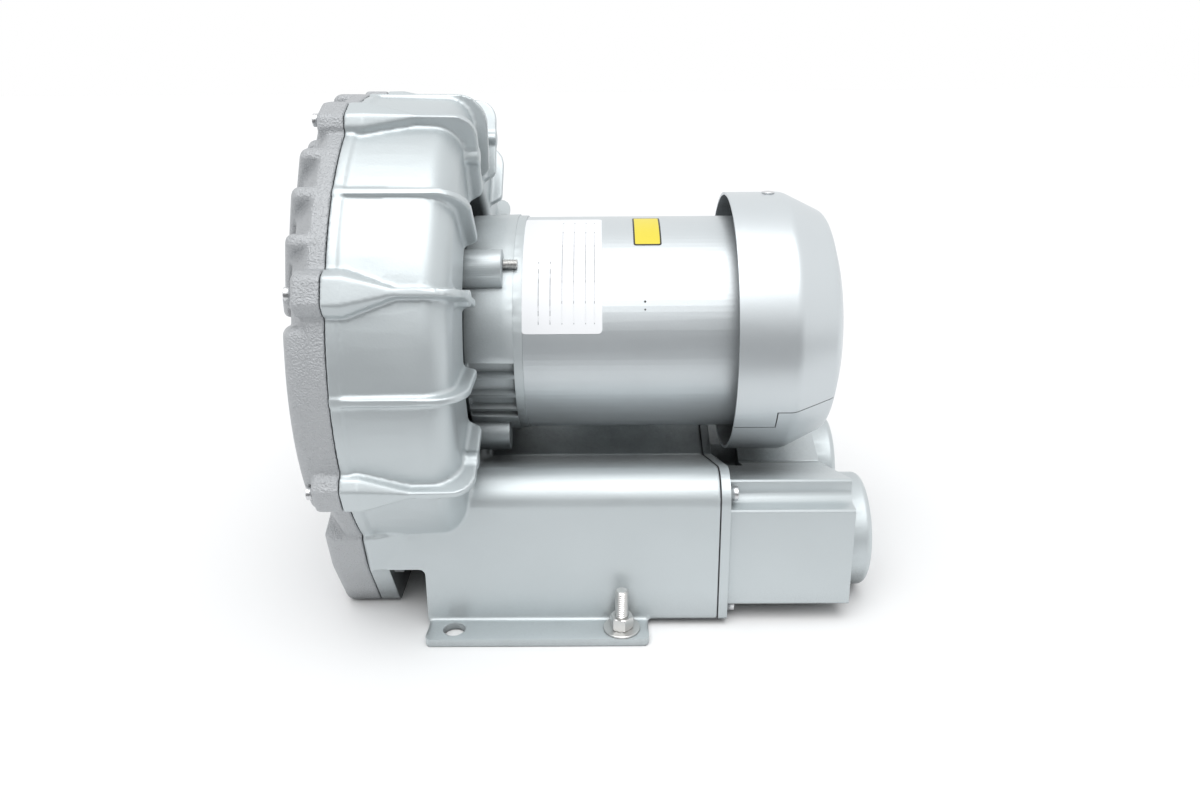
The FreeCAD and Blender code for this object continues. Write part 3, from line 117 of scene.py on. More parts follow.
# Port threads, whose sleeve lies just inside the bore, and the studs with the foot's washer and nut
PORT_OFFSET = 57.0
PORT_HEIGHT = 42.6
PORT_BORE = 28.7
PORT_CREST = 27.8
PORT_PITCH = 2.309
PORT_THREAD_SPAN = (209.0, 235.0)
SLEEVE_WALL = 0.01
SLEEVE_LIFT = 0.03
ROD_DEPTH_OF_PITCH = 0.55
ROD_TAPER_OF_DEPTH = 1.2
ROWS_A_PITCH = 6
FOOT_HOLE = (57.5, -130.0)
FOOT_STUD = {"start": (*FOOT_HOLE, 0.4), "axis": (0, 0, 1), "radius": 4.6, "pitch": 1.59, "length": 35.5}
BELL_STUD = {"start": (-22.0, -59.0, 245.5), "axis": (1, 0, 0), "radius": 3.4, "pitch": 1.0, "length": 10.2}
WASHER = {"centre": (*FOOT_HOLE, 6.05), "outer": 12.5, "hole": 5.0, "thickness": 1.5}
NUT = {"centre": (*FOOT_HOLE, 7.6), "across_flats": 14.2, "height": 9.0, "hole": 4.65, "turned": 0.26}

# Looks that materials share; scales are per metre, and depths are in metres
CREVICE_RAYS = 4
# Near-black colour of the painted shade laid into hollows and gaps
PAINTED_SHADE_COLOUR = (0.03, 0.033, 0.035)
PAINT_FLAKE = 0.05
METAL_GRAIN = {"Wave": 0.0, "Grain": 0.4, "Grit": 0.3, "Grain_Scale": 1500.0}
METAL_GRAIN_DEPTH = 0.00002
SMOOTHER_PATCH, ROUGHER_PATCH = -0.08, 0.05


# Materials

def new_material(name):
    """New material; returns it with its tree, its Principled BSDF and its object coordinates."""
    material = bpy.data.materials.new(name)
    material.use_nodes = True
    tree = material.node_tree
    coordinates = tree.nodes.new("ShaderNodeTexCoord").outputs["Object"]
    return material, tree, tree.nodes["Principled BSDF"], coordinates


def new_group(name, inputs, outputs):
    """Shared shader group with a Vector input, float inputs {name: default} and float outputs."""
    group = bpy.data.node_groups.new(name, "ShaderNodeTree")
    group.interface.new_socket("Vector", in_out="INPUT", socket_type="NodeSocketVector")
    for label, value in inputs.items():
        socket = group.interface.new_socket(label, in_out="INPUT", socket_type="NodeSocketFloat")
        socket.default_value = value
    for label in outputs:
        group.interface.new_socket(label, in_out="OUTPUT", socket_type="NodeSocketFloat")
    start = group.nodes.new("NodeGroupInput")
    end = group.nodes.new("NodeGroupOutput")
    return group, start, end


def noise(tree, vector, scale, detail, roughness=0.5):
    """Noise texture; scale is a number or an output socket. Returns its factor."""
    node = tree.nodes.new("ShaderNodeTexNoise")
    node.inputs["Detail"].default_value = detail
    node.inputs["Roughness"].default_value = roughness
    if isinstance(scale, (int, float)):
        node.inputs["Scale"].default_value = scale
    else:
        tree.links.new(scale, node.inputs["Scale"])
    tree.links.new(vector, node.inputs["Vector"])
    return node.outputs["Fac"]


def calculate(tree, operation, *values):
    """Math node of one to three values, each a number or an output socket."""
    node = tree.nodes.new("ShaderNodeMath")
    node.operation = operation
    for socket, value in zip(node.inputs, values):
        if isinstance(value, (int, float)):
            socket.default_value = value
        else:
            tree.links.new(value, socket)
    return node.outputs[0]


def swing(tree, value, amount):
    """A noise value's distance from its middle, 0.5, times an amount."""
    return calculate(tree, "MULTIPLY", calculate(tree, "SUBTRACT", value, 0.5), amount)


def remap(tree, value, low, high, out_low=0.0, out_high=1.0):
    """Range from low to high stretched over the range from out_low to out_high, and clamped."""
    node = tree.nodes.new("ShaderNodeMapRange")
    tree.links.new(value, node.inputs["Value"])
    limits = {"From Min": low, "From Max": high, "To Min": out_low, "To Max": out_high}
    for label, number in limits.items():
        node.inputs[label].default_value = number
    return node.outputs["Result"]


def mix_colour(tree, factor, a, b, blend="MIX"):
    """Colour mix; each value is a number, a colour of three numbers or an output socket."""
    node = tree.nodes.new("ShaderNodeMix")
    node.data_type = "RGBA"
    node.blend_type = blend
    factor_socket, first_colour, second_colour = (node.inputs[place] for place in (0, 6, 7))
    for socket, value in ((factor_socket, factor), (first_colour, a), (second_colour, b)):
        if isinstance(value, (int, float)):
            socket.default_value = value
        elif isinstance(value, tuple):
            socket.default_value = (*value, 1.0)
        else:
            tree.links.new(value, socket)
    return node.outputs[2]


def cast_grain_group():
    """Height of a cast surface: coarse waviness, pebbled grain and fine grit, each with its own weight."""
    inputs = {"Wave": 0.3, "Grain": 0.5, "Grit": 0.2, "Grain Scale": 700.0}
    wave_scale, grit_scale = 26.0, 2600.0
    group, start, end = new_group("cast_grain", inputs, ["Height"])
    vector = start.outputs["Vector"]
    wave = noise(group, vector, wave_scale, detail=2.0)
    grain = noise(group, vector, start.outputs["Grain Scale"], detail=2.0, roughness=0.6)
    pebble = group.nodes.new("ShaderNodeTexVoronoi")
    pebble.feature = "SMOOTH_F1"
    group.links.new(vector, pebble.inputs["Vector"])
    group.links.new(start.outputs["Grain Scale"], pebble.inputs["Scale"])
    grit = noise(group, vector, grit_scale, detail=1.0)
    height = calculate(group, "MULTIPLY", wave, start.outputs["Wave"])
    pebbled = calculate(group, "SUBTRACT", grain, pebble.outputs["Distance"])
    height = calculate(group, "MULTIPLY_ADD", pebbled, start.outputs["Grain"], height)
    height = calculate(group, "MULTIPLY_ADD", grit, start.outputs["Grit"], height)
    group.links.new(height, end.inputs["Height"])
    return group


def paint_mottle_group():
    """Slow change of tone in sprayed paint, with fine flakes, and a roughness that has its own patches."""
    inputs = {"Cloud": 0.06, "Flake": 0.05, "Rough Low": 0.34, "Rough High": 0.48}
    cloud_scale, patch_scale, flake_scale = 9.0, 31.0, 3800.0
    group, start, end = new_group("paint_mottle", inputs, ["Tone", "Roughness"])
    vector = start.outputs["Vector"]
    cloud = noise(group, vector, cloud_scale, detail=4.0, roughness=0.55)
    cloud = swing(group, cloud, start.outputs["Cloud"])
    flake = swing(group, noise(group, vector, flake_scale, detail=0.0), start.outputs["Flake"])
    tone = calculate(group, "ADD", calculate(group, "MULTIPLY_ADD", cloud, 2.0, 1.0), flake)
    group.links.new(tone, end.inputs["Tone"])
    patch = noise(group, vector, patch_scale, detail=3.0)
    span = calculate(group, "SUBTRACT", start.outputs["Rough High"], start.outputs["Rough Low"])
    rough = calculate(group, "MULTIPLY_ADD", patch, span, start.outputs["Rough Low"])
    group.links.new(rough, end.inputs["Roughness"])
    return group


def crevice_group():
    """Painted shade: a mask from the shape, high where walls come close and little light reaches, broken up by a
    noise.
    """
    clean_from, full_at = 0.50, 0.16
    breakup_scale, thin_below, thick_above, least = 60.0, 0.3, 0.65, 0.8
    group, start, end = new_group("crevice", {"Reach": 0.035}, ["Dust"])
    hollow = group.nodes.new("ShaderNodeAmbientOcclusion")
    hollow.samples = CREVICE_RAYS
    group.links.new(start.outputs["Reach"], hollow.inputs["Distance"])
    breakup = noise(group, start.outputs["Vector"], breakup_scale, detail=4.0, roughness=0.6)
    breakup = remap(group, breakup, thin_below, thick_above, out_low=least)
    painted_shade = remap(group, hollow.outputs["AO"], clean_from, full_at)
    painted_shade = calculate(group, "MULTIPLY", painted_shade, breakup)
    group.links.new(painted_shade, end.inputs["Dust"])
    return group


CAST_GRAIN = cast_grain_group()
PAINT_MOTTLE = paint_mottle_group()
CREVICE = crevice_group()


def place_group(tree, group, coordinates, **values):
    """Puts a shared group into a material; a value's name has _ where the socket has a space."""
    node = tree.nodes.new("ShaderNodeGroup")
    node.node_tree = group
    tree.links.new(coordinates, node.inputs["Vector"])
    for label, value in values.items():
        node.inputs[label.replace("_", " ")].default_value = value
    return node


def grained_material(name, colour, metallic, rough, cloud, flake, depth, **grain):
    """Material with a mottled colour and roughness, and a bumpy grain whose depth is in metres.

    Returns the material, its tree, shader and coordinates, and the output with the mottled colour.
    """
    material, tree, shader, coordinates = new_material(name)
    mottle = place_group(tree, PAINT_MOTTLE, coordinates, Cloud=cloud, Flake=flake,
                         Rough_Low=rough[0], Rough_High=rough[1])
    mottled = mix_colour(tree, 1.0, colour, mottle.outputs["Tone"], "MULTIPLY")
    tree.links.new(mottled, shader.inputs["Base Color"])
    tree.links.new(mottle.outputs["Roughness"], shader.inputs["Roughness"])
    shader.inputs["Metallic"].default_value = metallic
    cast = place_group(tree, CAST_GRAIN, coordinates, **grain)
    bump = tree.nodes.new("ShaderNodeBump")
    bump.inputs["Distance"].default_value = depth
    bump.inputs["Strength"].default_value = 1.0
    tree.links.new(cast.outputs["Height"], bump.inputs["Height"])
    tree.links.new(bump.outputs["Normal"], shader.inputs["Normal"])
    return material, tree, shader, coordinates, mottled


def silver_casting(name, colour, grain, metallic=0.55, rough=(0.36, 0.5), scale=700.0, depth=0.00012,
                   cloud=0.05, painted_shade=0.88, reach=0.035):
    """Silver-painted metal: mottled tone, cast grain, and painted shade that darkens crevices and gaps to near
    black.
    """
    material, tree, shader, coordinates, mottled = grained_material(
        name, colour, metallic, rough, cloud, PAINT_FLAKE, depth, Grain=grain, Grain_Scale=scale)
    crevice = place_group(tree, CREVICE, coordinates, Reach=reach)
    # Painted shade: the colour darkens towards near black where walls come close and little light reaches
    shade_share = calculate(tree, "MULTIPLY", crevice.outputs["Dust"], painted_shade)
    tree.links.new(mix_colour(tree, shade_share, mottled, PAINTED_SHADE_COLOUR), shader.inputs["Base Color"])
    return material


def plain_metal(name, colour, metallic, rough, flake=0.04, cloud=0.04):
    """Small metal pieces: zinc, turned steel, copper; slightly clouded, with a fine grain."""
    return grained_material(name, colour, metallic, rough, cloud, flake, METAL_GRAIN_DEPTH, **METAL_GRAIN)[0]


def dull_stuff(name, colour, rough, grain, scale, depth, cloud=0.2, flake=0.15):
    """Rubber, gasket board, foam and moulded plastic: matt, grained, with a little tone change."""
    rough_range = (rough + SMOOTHER_PATCH, rough + ROUGHER_PATCH)
    return grained_material(name, colour, 0.0, rough_range, cloud, flake, depth,
                            Wave=0.0, Grain=grain, Grit=0.1, Grain_Scale=scale)[0]


def printed_film(name, colour, rough, cloud=0.04, flake=0.02):
    """Label film or ink: nearly even in tone, and almost smooth."""
    return dull_stuff(name, colour, rough, grain=0.1, scale=900.0, depth=0.00001, cloud=cloud, flake=flake)


MATERIALS = {
    # The case's painted shade reaches furthest, so that it darkens the gap under the motor
    "case_aluminium": silver_casting("case_silver", (0.555, 0.60, 0.615), grain=0.22, painted_shade=0.92,
                                     reach=0.06),
    "cover_aluminium": silver_casting("cover_rough_silver", (0.45, 0.465, 0.48), grain=1.0, metallic=0.4,
                                      rough=(0.45, 0.62), scale=820.0, depth=0.0006, cloud=0.08),
    "painted_steel": silver_casting("shell_silver", (0.62, 0.66, 0.68), grain=0.08, metallic=0.62,
                                    rough=(0.32, 0.42)),
    "bare_aluminium": plain_metal("wheel_aluminium", (0.70, 0.71, 0.72), metallic=0.9, rough=(0.32, 0.45)),
    "zinc_steel": plain_metal("zinc", (0.66, 0.67, 0.68), metallic=0.9, rough=(0.25, 0.38)),
    "machined_steel": plain_metal("turned_steel", (0.56, 0.56, 0.57), metallic=1.0, rough=(0.2, 0.32)),
    "bearing_steel": plain_metal("ground_steel", (0.70, 0.70, 0.71), metallic=1.0, rough=(0.1, 0.18)),
    "lamination_steel": plain_metal("lamination", (0.26, 0.27, 0.29), metallic=0.8, rough=(0.4, 0.6),
                                    flake=0.1),
    "winding_copper": plain_metal("varnished_copper", (0.48, 0.20, 0.07), metallic=0.7, rough=(0.3, 0.45),
                                  flake=0.1),
    "stud_brass": plain_metal("stud_brass", (0.66, 0.48, 0.18), metallic=0.9, rough=(0.25, 0.35)),
    "gasket_board": dull_stuff("gasket_board", (0.07, 0.07, 0.075), rough=0.85,
                               grain=0.5, scale=900.0, depth=0.0001),
    "seal_rubber": dull_stuff("seal_rubber", (0.03, 0.03, 0.03), rough=0.7,
                              grain=0.3, scale=1200.0, depth=0.00005),
    "silencer_foam": dull_stuff("silencer_foam", (0.07, 0.07, 0.075), rough=0.95,
                                grain=1.0, scale=260.0, depth=0.0012),
    "fan_plastic": dull_stuff("fan_plastic", (0.05, 0.05, 0.055), rough=0.5,
                              grain=0.3, scale=900.0, depth=0.00008),
    "terminal_plastic": dull_stuff("terminal_plastic", (0.30, 0.13, 0.05), rough=0.45,
                                   grain=0.2, scale=900.0, depth=0.00005),
}
PLATE_FILM = printed_film("label_film", (0.88, 0.89, 0.91), rough=0.42, cloud=0.02, flake=0.01)
YELLOW_FILM = printed_film("yellow_film", (0.82, 0.68, 0.06), rough=0.4)
RULE_INK = printed_film("rule_ink", (0.30, 0.31, 0.33), rough=0.45)
BLACK_FILM = printed_film("black_film", (0.02, 0.02, 0.02), rough=0.4)
BRIGHT_ZINC = plain_metal("bright_zinc", (0.62, 0.62, 0.61), metallic=0.95, rough=(0.22, 0.36), cloud=0.12)
NODE_SLOT = {row["node"]: row["material_slot"] for row in frame["record"]["subparts"]}


# Pieces that stand for the CAD nodes, with soft edges

def merged_copy(nodes, name):
    """The nodes' meshes in one new object, with their loose triangles joined into closed surfaces."""
    mesh = bpy.data.meshes.new(name)
    copy = bpy.data.objects.new(name, mesh)
    bpy.context.scene.collection.objects.link(copy)
    work = bmesh.new()
    for node in nodes:
        work.from_mesh(frame["nodes"][node].data)
    bmesh.ops.remove_doubles(work, verts=work.verts, dist=CAD_JOIN)
    bmesh.ops.dissolve_degenerate(work, dist=CAD_SHORTEST, edges=work.edges)
    work.to_mesh(mesh)
    work.free()
    return copy


def smooth_by_angle(piece, angle):
    """Smooth shading, with every edge sharper than the angle kept crisp."""
    mesh = piece.data
    mesh.polygons.foreach_set("use_smooth", np.ones(len(mesh.polygons), bool))
    mesh.set_sharp_from_angle(angle=math.radians(angle))


def body_of_node(node):
    """Name of the body that holds a CAD node."""
    for body, members in frame["record"]["behaviour"]["bodies"].items():
        if node in members:
            return body


def dress(node, bevel):
    """Replaces a node by a smooth copy, with edges rounded to the bevel width."""
    piece = merged_copy([node], node + "_skin")
    if bevel > 0:
        rounding = piece.modifiers.new("soft_edges", "BEVEL")
        rounding.width = bevel * MM
        rounding.segments = BEVEL_SEGMENTS
        rounding.limit_method = "ANGLE"
        rounding.angle_limit = math.radians(CREASE_ANGLE)
        rounding.harden_normals = True
    smooth_by_angle(piece, CREASE_ANGLE)
    slot = NODE_SLOT[node]
    piece.data.materials.append(MATERIALS[slot])
    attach(piece, body_of_node(node))
    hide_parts(node)


def swell(piece, label, distance):
    """Moves every face outwards along its normal by a distance, or inwards if it is negative."""
    growth = piece.modifiers.new(label, "DISPLACE")
    growth.mid_level = 0.0
    growth.strength = distance * MM


def apply_modifiers(piece):
    """Puts the shape that the modifiers make into the piece's own mesh."""
    seen = piece.evaluated_get(bpy.context.evaluated_depsgraph_get())
    made = bpy.data.meshes.new_from_object(seen)
    made.name = piece.name
    piece.modifiers.clear()
    piece.data = made


def soften_casting(name, nodes, voxel, keep):
    """One casting in place of its nodes, with edges and corners that flow together as sand-cast ones do.

    The copy is swollen a little, so that thin walls stay closed, rebuilt on a grid of voxels, smoothed a
    few times, drawn back to size, and thinned to the share kept.
    """
    piece = merged_copy(nodes, name)
    swell(piece, "grow", WALL_GROWTH)
    rebuilt = piece.modifiers.new("rebuild", "REMESH")
    rebuilt.mode = "VOXEL"
    rebuilt.voxel_size = voxel * MM
    flow = piece.modifiers.new("flow", "SMOOTH")
    flow.factor = FLOW_SHARE
    flow.iterations = FLOW_PASSES
    swell(piece, "draw_back", GROWTH_LEFT - WALL_GROWTH)
    thin = piece.modifiers.new("thin", "DECIMATE")
    thin.ratio = keep
    apply_modifiers(piece)
    smooth_by_angle(piece, CASTING_CREASE_ANGLE)
    slot = NODE_SLOT[nodes[0]]
    piece.data.materials.append(MATERIALS[slot])
    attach(piece, body_of_node(nodes[0]))
    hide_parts(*nodes)


for casting, settings in SAND_CAST.items():
    soften_casting(casting, **settings)
cast_nodes = [node for settings in SAND_CAST.values() for node in settings["nodes"]]
for cad_node in frame["nodes"]:
    if cad_node not in cast_nodes:
        dress(cad_node, BEVELS.get(cad_node, 0.0))


# Small pieces that only the scene has

def new_piece(name, points, faces, material, crease):
    """Closed object of the blower, from rows of points in millimetres and the faces between them."""
    mesh = bpy.data.meshes.new(name)
    mesh.from_pydata((points.reshape(-1, 3) * MM).tolist(), [], faces.tolist())
    mesh.materials.append(material)
    mesh.validate()
    piece = bpy.data.objects.new(name, mesh)
    bpy.context.scene.collection.objects.link(piece)
    smooth_by_angle(piece, crease)
    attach(piece, "blower")
    merge_and_face_outwards(mesh)


def merge_and_face_outwards(mesh):
    """Joins the points of a pole into one and turns every face outwards."""
    work = bmesh.new()
    work.from_mesh(mesh)
    bmesh.ops.remove_doubles(work, verts=work.verts, dist=POLE_JOIN)
    bmesh.ops.dissolve_degenerate(work, dist=POLE_SHORTEST, edges=work.edges)
    bmesh.ops.recalc_face_normals(work, faces=work.faces)
    work.to_mesh(mesh)
    work.free()


def grid_faces(rows, columns, wrap_rows=False):
    """Quads of a grid of points that is stored row after row: closed along a row, and if asked across."""
    row_index = np.arange(rows if wrap_rows else rows - 1)[:, None]
    column_index = np.arange(columns)[None, :]
    next_row = (row_index + 1) % rows
    next_column = (column_index + 1) % columns
    corners = [row_index * columns + column_index, row_index * columns + next_column,
               next_row * columns + next_column, next_row * columns + column_index]
    return np.stack([corner.ravel() for corner in corners], 1)


def circle_across(axis, angle):
    """Points of the unit circle across an axis: cos(angle) along one side and sin(angle) along another."""
    side = np.array((0.0, 0.0, 1.0)) if abs(axis[2]) < 0.5 else np.array((1.0, 0.0, 0.0))
    other = np.cross(axis, side)
    return np.cos(angle)[..., None] * side + np.sin(angle)[..., None] * other


def thread_wave(turns):
    """Triangular wave: |2 * frac(turns) - 1| is 1 at whole turns and 0 halfway between them."""
    return np.abs(2.0 * np.mod(turns, 1.0) - 1.0)


def rounded_outline(half_width, half_height, corner, count=240):
    """Outline of a rectangle with round corners, as width and height offsets at even steps of its length.

    A fine outline is the four corner circles' arcs one after the other; the running length round it then
    gives the even steps.
    """
    fine = 400
    angle = np.linspace(0.0, FULL_TURN, fine, endpoint=False) + np.pi / fine
    across = np.sign(np.cos(angle)) * (half_width - corner) + corner * np.cos(angle)
    up = np.sign(np.sin(angle)) * (half_height - corner) + corner * np.sin(angle)
    across, up = np.append(across, across[0]), np.append(up, up[0])
    length = np.concatenate([[0.0], np.cumsum(np.hypot(np.diff(across), np.diff(up)))])
    step = np.linspace(0.0, length[-1], count, endpoint=False)
    return np.interp(step, length, across), np.interp(step, length, up)


def film_on_shell(name, material, x_span, angle_span, corner, lift, rings=14):
    """Thin film laid round the motor shell.

    The film is the rounded outline scaled by a share from 0 at its middle to 1 at its edge, wrapped on
    the cylinder: angle = middle angle + offset / radius. Its last rows drop to the shell and close below.
    """
    middle_x, middle_angle = sum(x_span) / 2.0, math.radians(sum(angle_span) / 2.0)
    half_width = (x_span[1] - x_span[0]) / 2.0
    half_height = math.radians(angle_span[1] - angle_span[0]) / 2.0 * SHELL_RADIUS
    across, up = rounded_outline(half_width, half_height, corner)
    share = np.concatenate([np.linspace(0.0, 1.0, rings), [1.0, 0.0]])[:, None]
    radius = SHELL_RADIUS + np.concatenate([np.full(rings, lift), [FILM_SEAT, FILM_SEAT]])[:, None]
    angle = middle_angle + share * up / SHELL_RADIUS
    points = np.stack([middle_x + share * across, -radius * np.cos(angle),
                       AXIS_HEIGHT + radius * np.sin(angle)], 2)
    faces = grid_faces(len(share), len(across))[:, ::-1]
    new_piece(name, points, faces, material, crease=35.0)


def threaded_rod(name, material, start, axis, radius, pitch, length):
    """Rod with a screw thread.

    Radius at height h and angle a = radius - depth * |2 * frac(h / pitch - a / turn) - 1|, which is a
    triangular ridge that climbs one pitch a turn; it fades to a cone at both ends.
    """
    around, rows = 40, int(length / pitch * ROWS_A_PITCH) + 1
    depth = ROD_DEPTH_OF_PITCH * pitch
    taper = ROD_TAPER_OF_DEPTH * depth
    height = np.linspace(0.0, length, rows)[:, None]
    turn = np.linspace(0.0, 1.0, around, endpoint=False)[None, :]
    to_end = np.minimum(height, length - height)
    cone = radius - np.maximum(0.0, taper - to_end)
    reach = np.minimum(radius - depth * thread_wave(height / pitch - turn), cone)
    pole = np.zeros((1, around))
    reach = np.concatenate([pole, reach, pole])[..., None]
    height = np.concatenate([[[0.0]], height, [[length]]])[..., None]
    points = np.array(start) + height * np.array(axis) + reach * circle_across(axis, FULL_TURN * turn)
    new_piece(name, points, grid_faces(len(height), around), material, crease=35.0)


def hex_nut(name, material, centre, across_flats, height, hole, turned):
    """Hexagon nut on a vertical axis, turned by an angle in radians.

    Radius at angle a = apothem / cos(a's distance from the middle of its flat), cut down by a 30 degree
    chamfer cone near both faces; the section runs up the outside, in over the top, and down the hole.
    """
    around, cone_rise, cone_foot = 72, 1.732, 0.97
    turn = np.linspace(0.0, FULL_TURN, around, endpoint=False)
    apothem = across_flats / 2.0
    hexagon = apothem / np.cos(np.mod(turn + turned, np.pi / 3.0) - np.pi / 6.0)
    rise = np.array([0.0, 0.5, 1.0, 1.5])
    level = np.concatenate([rise, height - rise[::-1]])
    cone = apothem * cone_foot + np.minimum(level, height - level) * cone_rise
    outside = np.minimum(hexagon[None, :], cone[:, None])
    reach = np.concatenate([outside, np.full((2, around), hole)])
    level = np.concatenate([level, [height, 0.0]])[:, None]
    points = np.stack([centre[0] + reach * np.cos(turn), centre[1] + reach * np.sin(turn),
                       centre[2] + level + 0.0 * reach], 2)
    faces = grid_faces(len(level), around, wrap_rows=True)
    new_piece(name, points, faces, material, crease=25.0)


def washer(name, material, centre, outer, hole, thickness):
    """Flat washer: a rectangle with eased corners carried round a vertical axis.

    Point = centre + height up the axis + radius times (cos, sin) of the angle across it.
    """
    around, ease, up = 72, 0.25, (0.0, 0.0, 1.0)
    section = [(hole, ease), (hole + ease, 0.0), (outer - ease, 0.0), (outer, ease),
               (outer, thickness - ease), (outer - ease, thickness), (hole + ease, thickness),
               (hole, thickness - ease)]
    radius, height = np.array(section).T[:, :, None, None]
    ring = circle_across(up, np.linspace(0.0, FULL_TURN, around, endpoint=False))
    points = np.array(centre) + height * np.array(up) + radius * ring
    faces = grid_faces(len(section), around, wrap_rows=True)
    new_piece(name, points, faces, material, crease=25.0)


def port_thread(name, centre_y):
    """Pipe thread in a port: a triangular helix on the inside of a thin sleeve.

    Radius at distance x and angle a = bore - (bore - crest) * (1 - |2 * frac(x / pitch - a / turn) - 1|),
    which fades over one pitch at both ends; two more rows close the sleeve on the bore.
    """
    x_from, x_to = PORT_THREAD_SPAN
    around, rows = 96, int((x_to - x_from) / PORT_PITCH * ROWS_A_PITCH) + 1
    x = np.linspace(x_from, x_to, rows)[:, None]
    turn = np.linspace(0.0, 1.0, around, endpoint=False)[None, :]
    ridge = 1.0 - thread_wave((x - x_from) / PORT_PITCH - turn)
    fade = np.clip(np.minimum(x - x_from, x_to - x) / PORT_PITCH, 0.0, 1.0)
    reach = PORT_BORE - SLEEVE_LIFT - (PORT_BORE - PORT_CREST) * ridge * fade
    reach = np.concatenate([reach, np.full((2, around), PORT_BORE - SLEEVE_WALL)])
    x = np.concatenate([x, [[x_to], [x_from]]])
    points = np.stack([x + 0.0 * reach, centre_y + reach * np.cos(FULL_TURN * turn),
                       PORT_HEIGHT + reach * np.sin(FULL_TURN * turn)], 2)
    faces = grid_faces(len(x), around, wrap_rows=True)
    new_piece(name, points, faces, MATERIALS["machined_steel"], crease=40.0)


film_on_shell("rating_plate_blank", PLATE_FILM, **PLATE)
for number, (rule_x, rule_end) in enumerate(RULES):
    film_on_shell("rating_rule_%d" % number, RULE_INK, (rule_x, rule_x + RULE_WIDTH),
                  (RULE_START, rule_end), corner=0.2, lift=0.36, rings=4)
film_on_shell("sign_border", BLACK_FILM, **SIGN_BORDER)
film_on_shell("sign_face", YELLOW_FILM, **SIGN_FACE)
# Two dark dots painted on the shell where it has a dimple: painted shade of the dimple
for number, (dot_angle, size) in enumerate(DIMPLE_SHADE_DOTS):
    half_angle = math.degrees(size / SHELL_RADIUS)
    film_on_shell("dimple_shade_%d" % number, BLACK_FILM, (DIMPLE_X - size, DIMPLE_X + size),
                  (dot_angle - half_angle, dot_angle + half_angle), corner=0.8 * size, lift=0.10, rings=4)
port_thread("near_port_thread", -PORT_OFFSET)
port_thread("far_port_thread", PORT_OFFSET)
threaded_rod("foot_stud", BRIGHT_ZINC, **FOOT_STUD)
washer("foot_washer", BRIGHT_ZINC, **WASHER)
hex_nut("foot_nut", BRIGHT_ZINC, **NUT)
threaded_rod("bell_stud", BRIGHT_ZINC, **BELL_STUD)


# Floor, reflection cards and studio light

def plain_surface(name, colour):
    """Floor or card: one dull colour, slightly uneven in its roughness."""
    material, tree, shader, coordinates = new_material(name)
    uneven = noise(tree, coordinates, SURFACE_PATCH_SCALE, detail=2.0)
    uneven = remap(tree, uneven, 0.0, 1.0, *SURFACE_ROUGHNESS)
    tree.links.new(uneven, shader.inputs["Roughness"])
    shader.inputs["Base Color"].default_value = (*colour, 1.0)
    return material


def flat_panel(name, corners, material):
    """Flat stage object between its corners."""
    mesh = bpy.data.meshes.new(name)
    mesh.from_pydata(corners, [], [tuple(range(len(corners)))])
    mesh.materials.append(material)
    panel = bpy.data.objects.new(name, mesh)
    bpy.context.scene.collection.objects.link(panel)
    return panel


def reflection_card(name, corners, colour):
    """Grey card that only shows in the gloss of the metal, as a flag does beside a product table."""
    card = flat_panel(name, corners, plain_surface(name + "_grey", colour))
    card.visible_camera = False
    card.visible_diffuse = False
    card.visible_shadow = False
    card.visible_transmission = False


def make_light():
    """Even studio light: a pale world that is white where it is seen, and one large soft sun."""
    world = bpy.data.worlds.new("studio")
    world.use_nodes = True
    bpy.context.scene.world = world
    tree = world.node_tree
    soft, white = tree.nodes["Background"], tree.nodes.new("ShaderNodeBackground")
    for shader, colour, strength in ((soft, WORLD_TINT, WORLD_STRENGTH), (white, SEEN_WHITE, 1.0)):
        shader.inputs["Color"].default_value = colour
        shader.inputs["Strength"].default_value = strength
    path = tree.nodes.new("ShaderNodeLightPath")
    seen = calculate(tree, "MAXIMUM", path.outputs["Is Camera Ray"], path.outputs["Is Glossy Ray"])
    seen = calculate(tree, "MAXIMUM", seen, path.outputs["Is Transmission Ray"])
    blend = tree.nodes.new("ShaderNodeMixShader")
    tree.links.new(seen, blend.inputs[0])
    tree.links.new(soft.outputs[0], blend.inputs[1])
    tree.links.new(white.outputs[0], blend.inputs[2])
    tree.links.new(blend.outputs[0], tree.nodes["World Output"].inputs["Surface"])
    data = bpy.data.lights.new("soft_sun", "SUN")
    data.energy = SUN_STRENGTH
    data.angle = math.radians(SUN_SPREAD)
    sun = bpy.data.objects.new("soft_sun", data)
    sun.rotation_euler = Vector(SUN_DIRECTION).to_track_quat("-Z", "Y").to_euler()
    bpy.context.scene.collection.objects.link(sun)


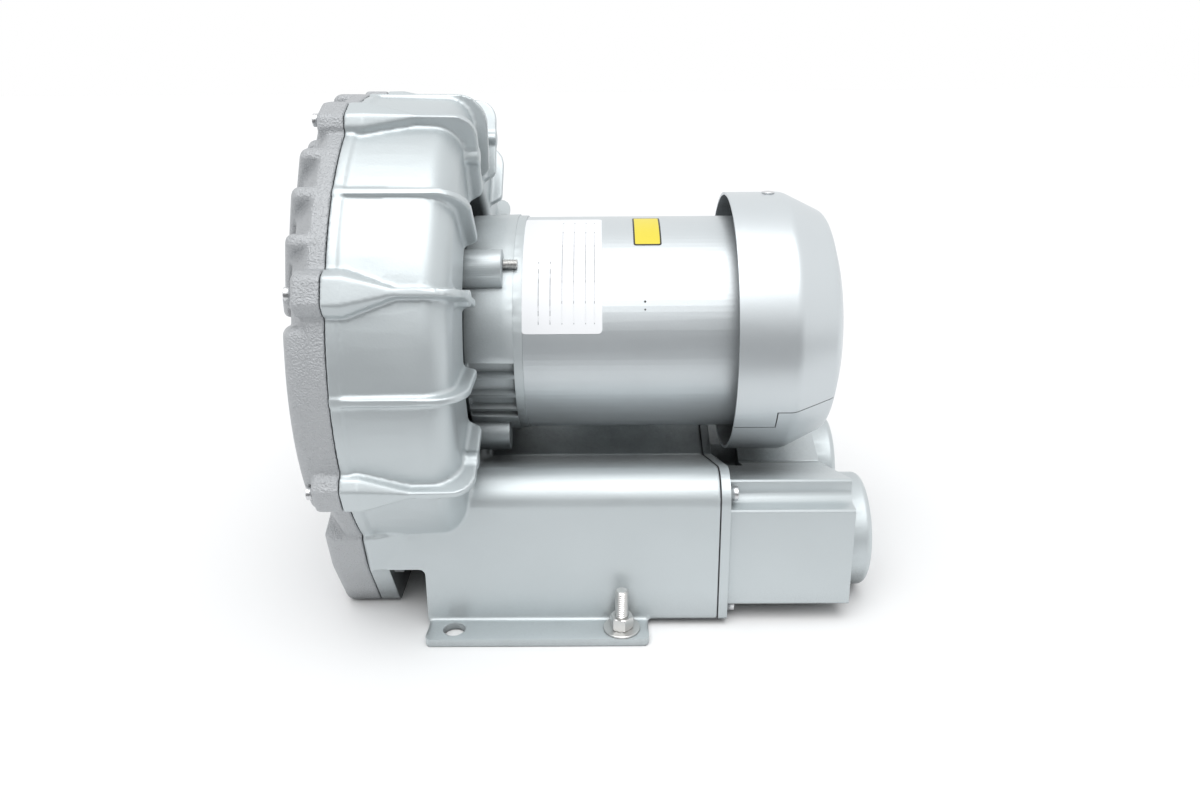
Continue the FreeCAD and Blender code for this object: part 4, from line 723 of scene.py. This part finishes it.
def make_camera():
    """Pinhole camera whose axes are turned by yaw about Z, then pitch down, then roll."""
    yaw, pitch, roll = (math.radians(a) for a in (CAMERA_YAW, CAMERA_PITCH, CAMERA_ROLL))
    level = math.cos(pitch)
    ahead = Vector((-math.sin(yaw) * level, math.cos(yaw) * level, -math.sin(pitch)))
    right = Vector((math.cos(yaw), math.sin(yaw), 0.0))
    down = ahead.cross(right)
    right_rolled = right * math.cos(roll) + down * math.sin(roll)
    down_rolled = down * math.cos(roll) - right * math.sin(roll)
    data = bpy.data.cameras.new("camera")
    data.sensor_width = SENSOR_WIDTH
    data.lens = FOCAL_PIXELS * SENSOR_WIDTH / IMAGE_WIDTH
    data.shift_x = -CENTRE_OFFSET_PIXELS[0] / IMAGE_WIDTH
    data.shift_y = CENTRE_OFFSET_PIXELS[1] / IMAGE_WIDTH
    data.clip_start = CLIP_START
    camera = bpy.data.objects.new("camera", data)
    axes = Matrix((right_rolled, -down_rolled, -ahead)).transposed()
    camera.matrix_world = Matrix.Translation(CAMERA_PLACE) @ axes.to_4x4()
    bpy.context.scene.collection.objects.link(camera)
    bpy.context.scene.camera = camera


make_camera()
flat_panel("floor", [(-FLOOR_REACH, -FLOOR_REACH, 0), (FLOOR_REACH, -FLOOR_REACH, 0),
                     (FLOOR_REACH, FLOOR_REACH, 0), (-FLOOR_REACH, FLOOR_REACH, 0)],
           plain_surface("pale_floor", FLOOR_COLOUR))
reflection_card("front_card", [(CARD_LEFT, CARD_FAR_Y, CARD_BOTTOM), (CARD_RIGHT, CARD_FAR_Y, CARD_BOTTOM),
                               (CARD_RIGHT, CARD_NEAR_Y, CARD_BOTTOM), (CARD_LEFT, CARD_NEAR_Y, CARD_BOTTOM)],
                LYING_CARD_GREY)
reflection_card("back_card", [(CARD_LEFT, CARD_FAR_Y, CARD_BOTTOM), (CARD_LEFT, CARD_FAR_Y, CARD_TOP),
                              (CARD_RIGHT, CARD_FAR_Y, CARD_TOP), (CARD_RIGHT, CARD_FAR_Y, CARD_BOTTOM)],
                STANDING_CARD_GREY)
make_light()
bpy.context.scene.view_settings.view_transform = "Standard"
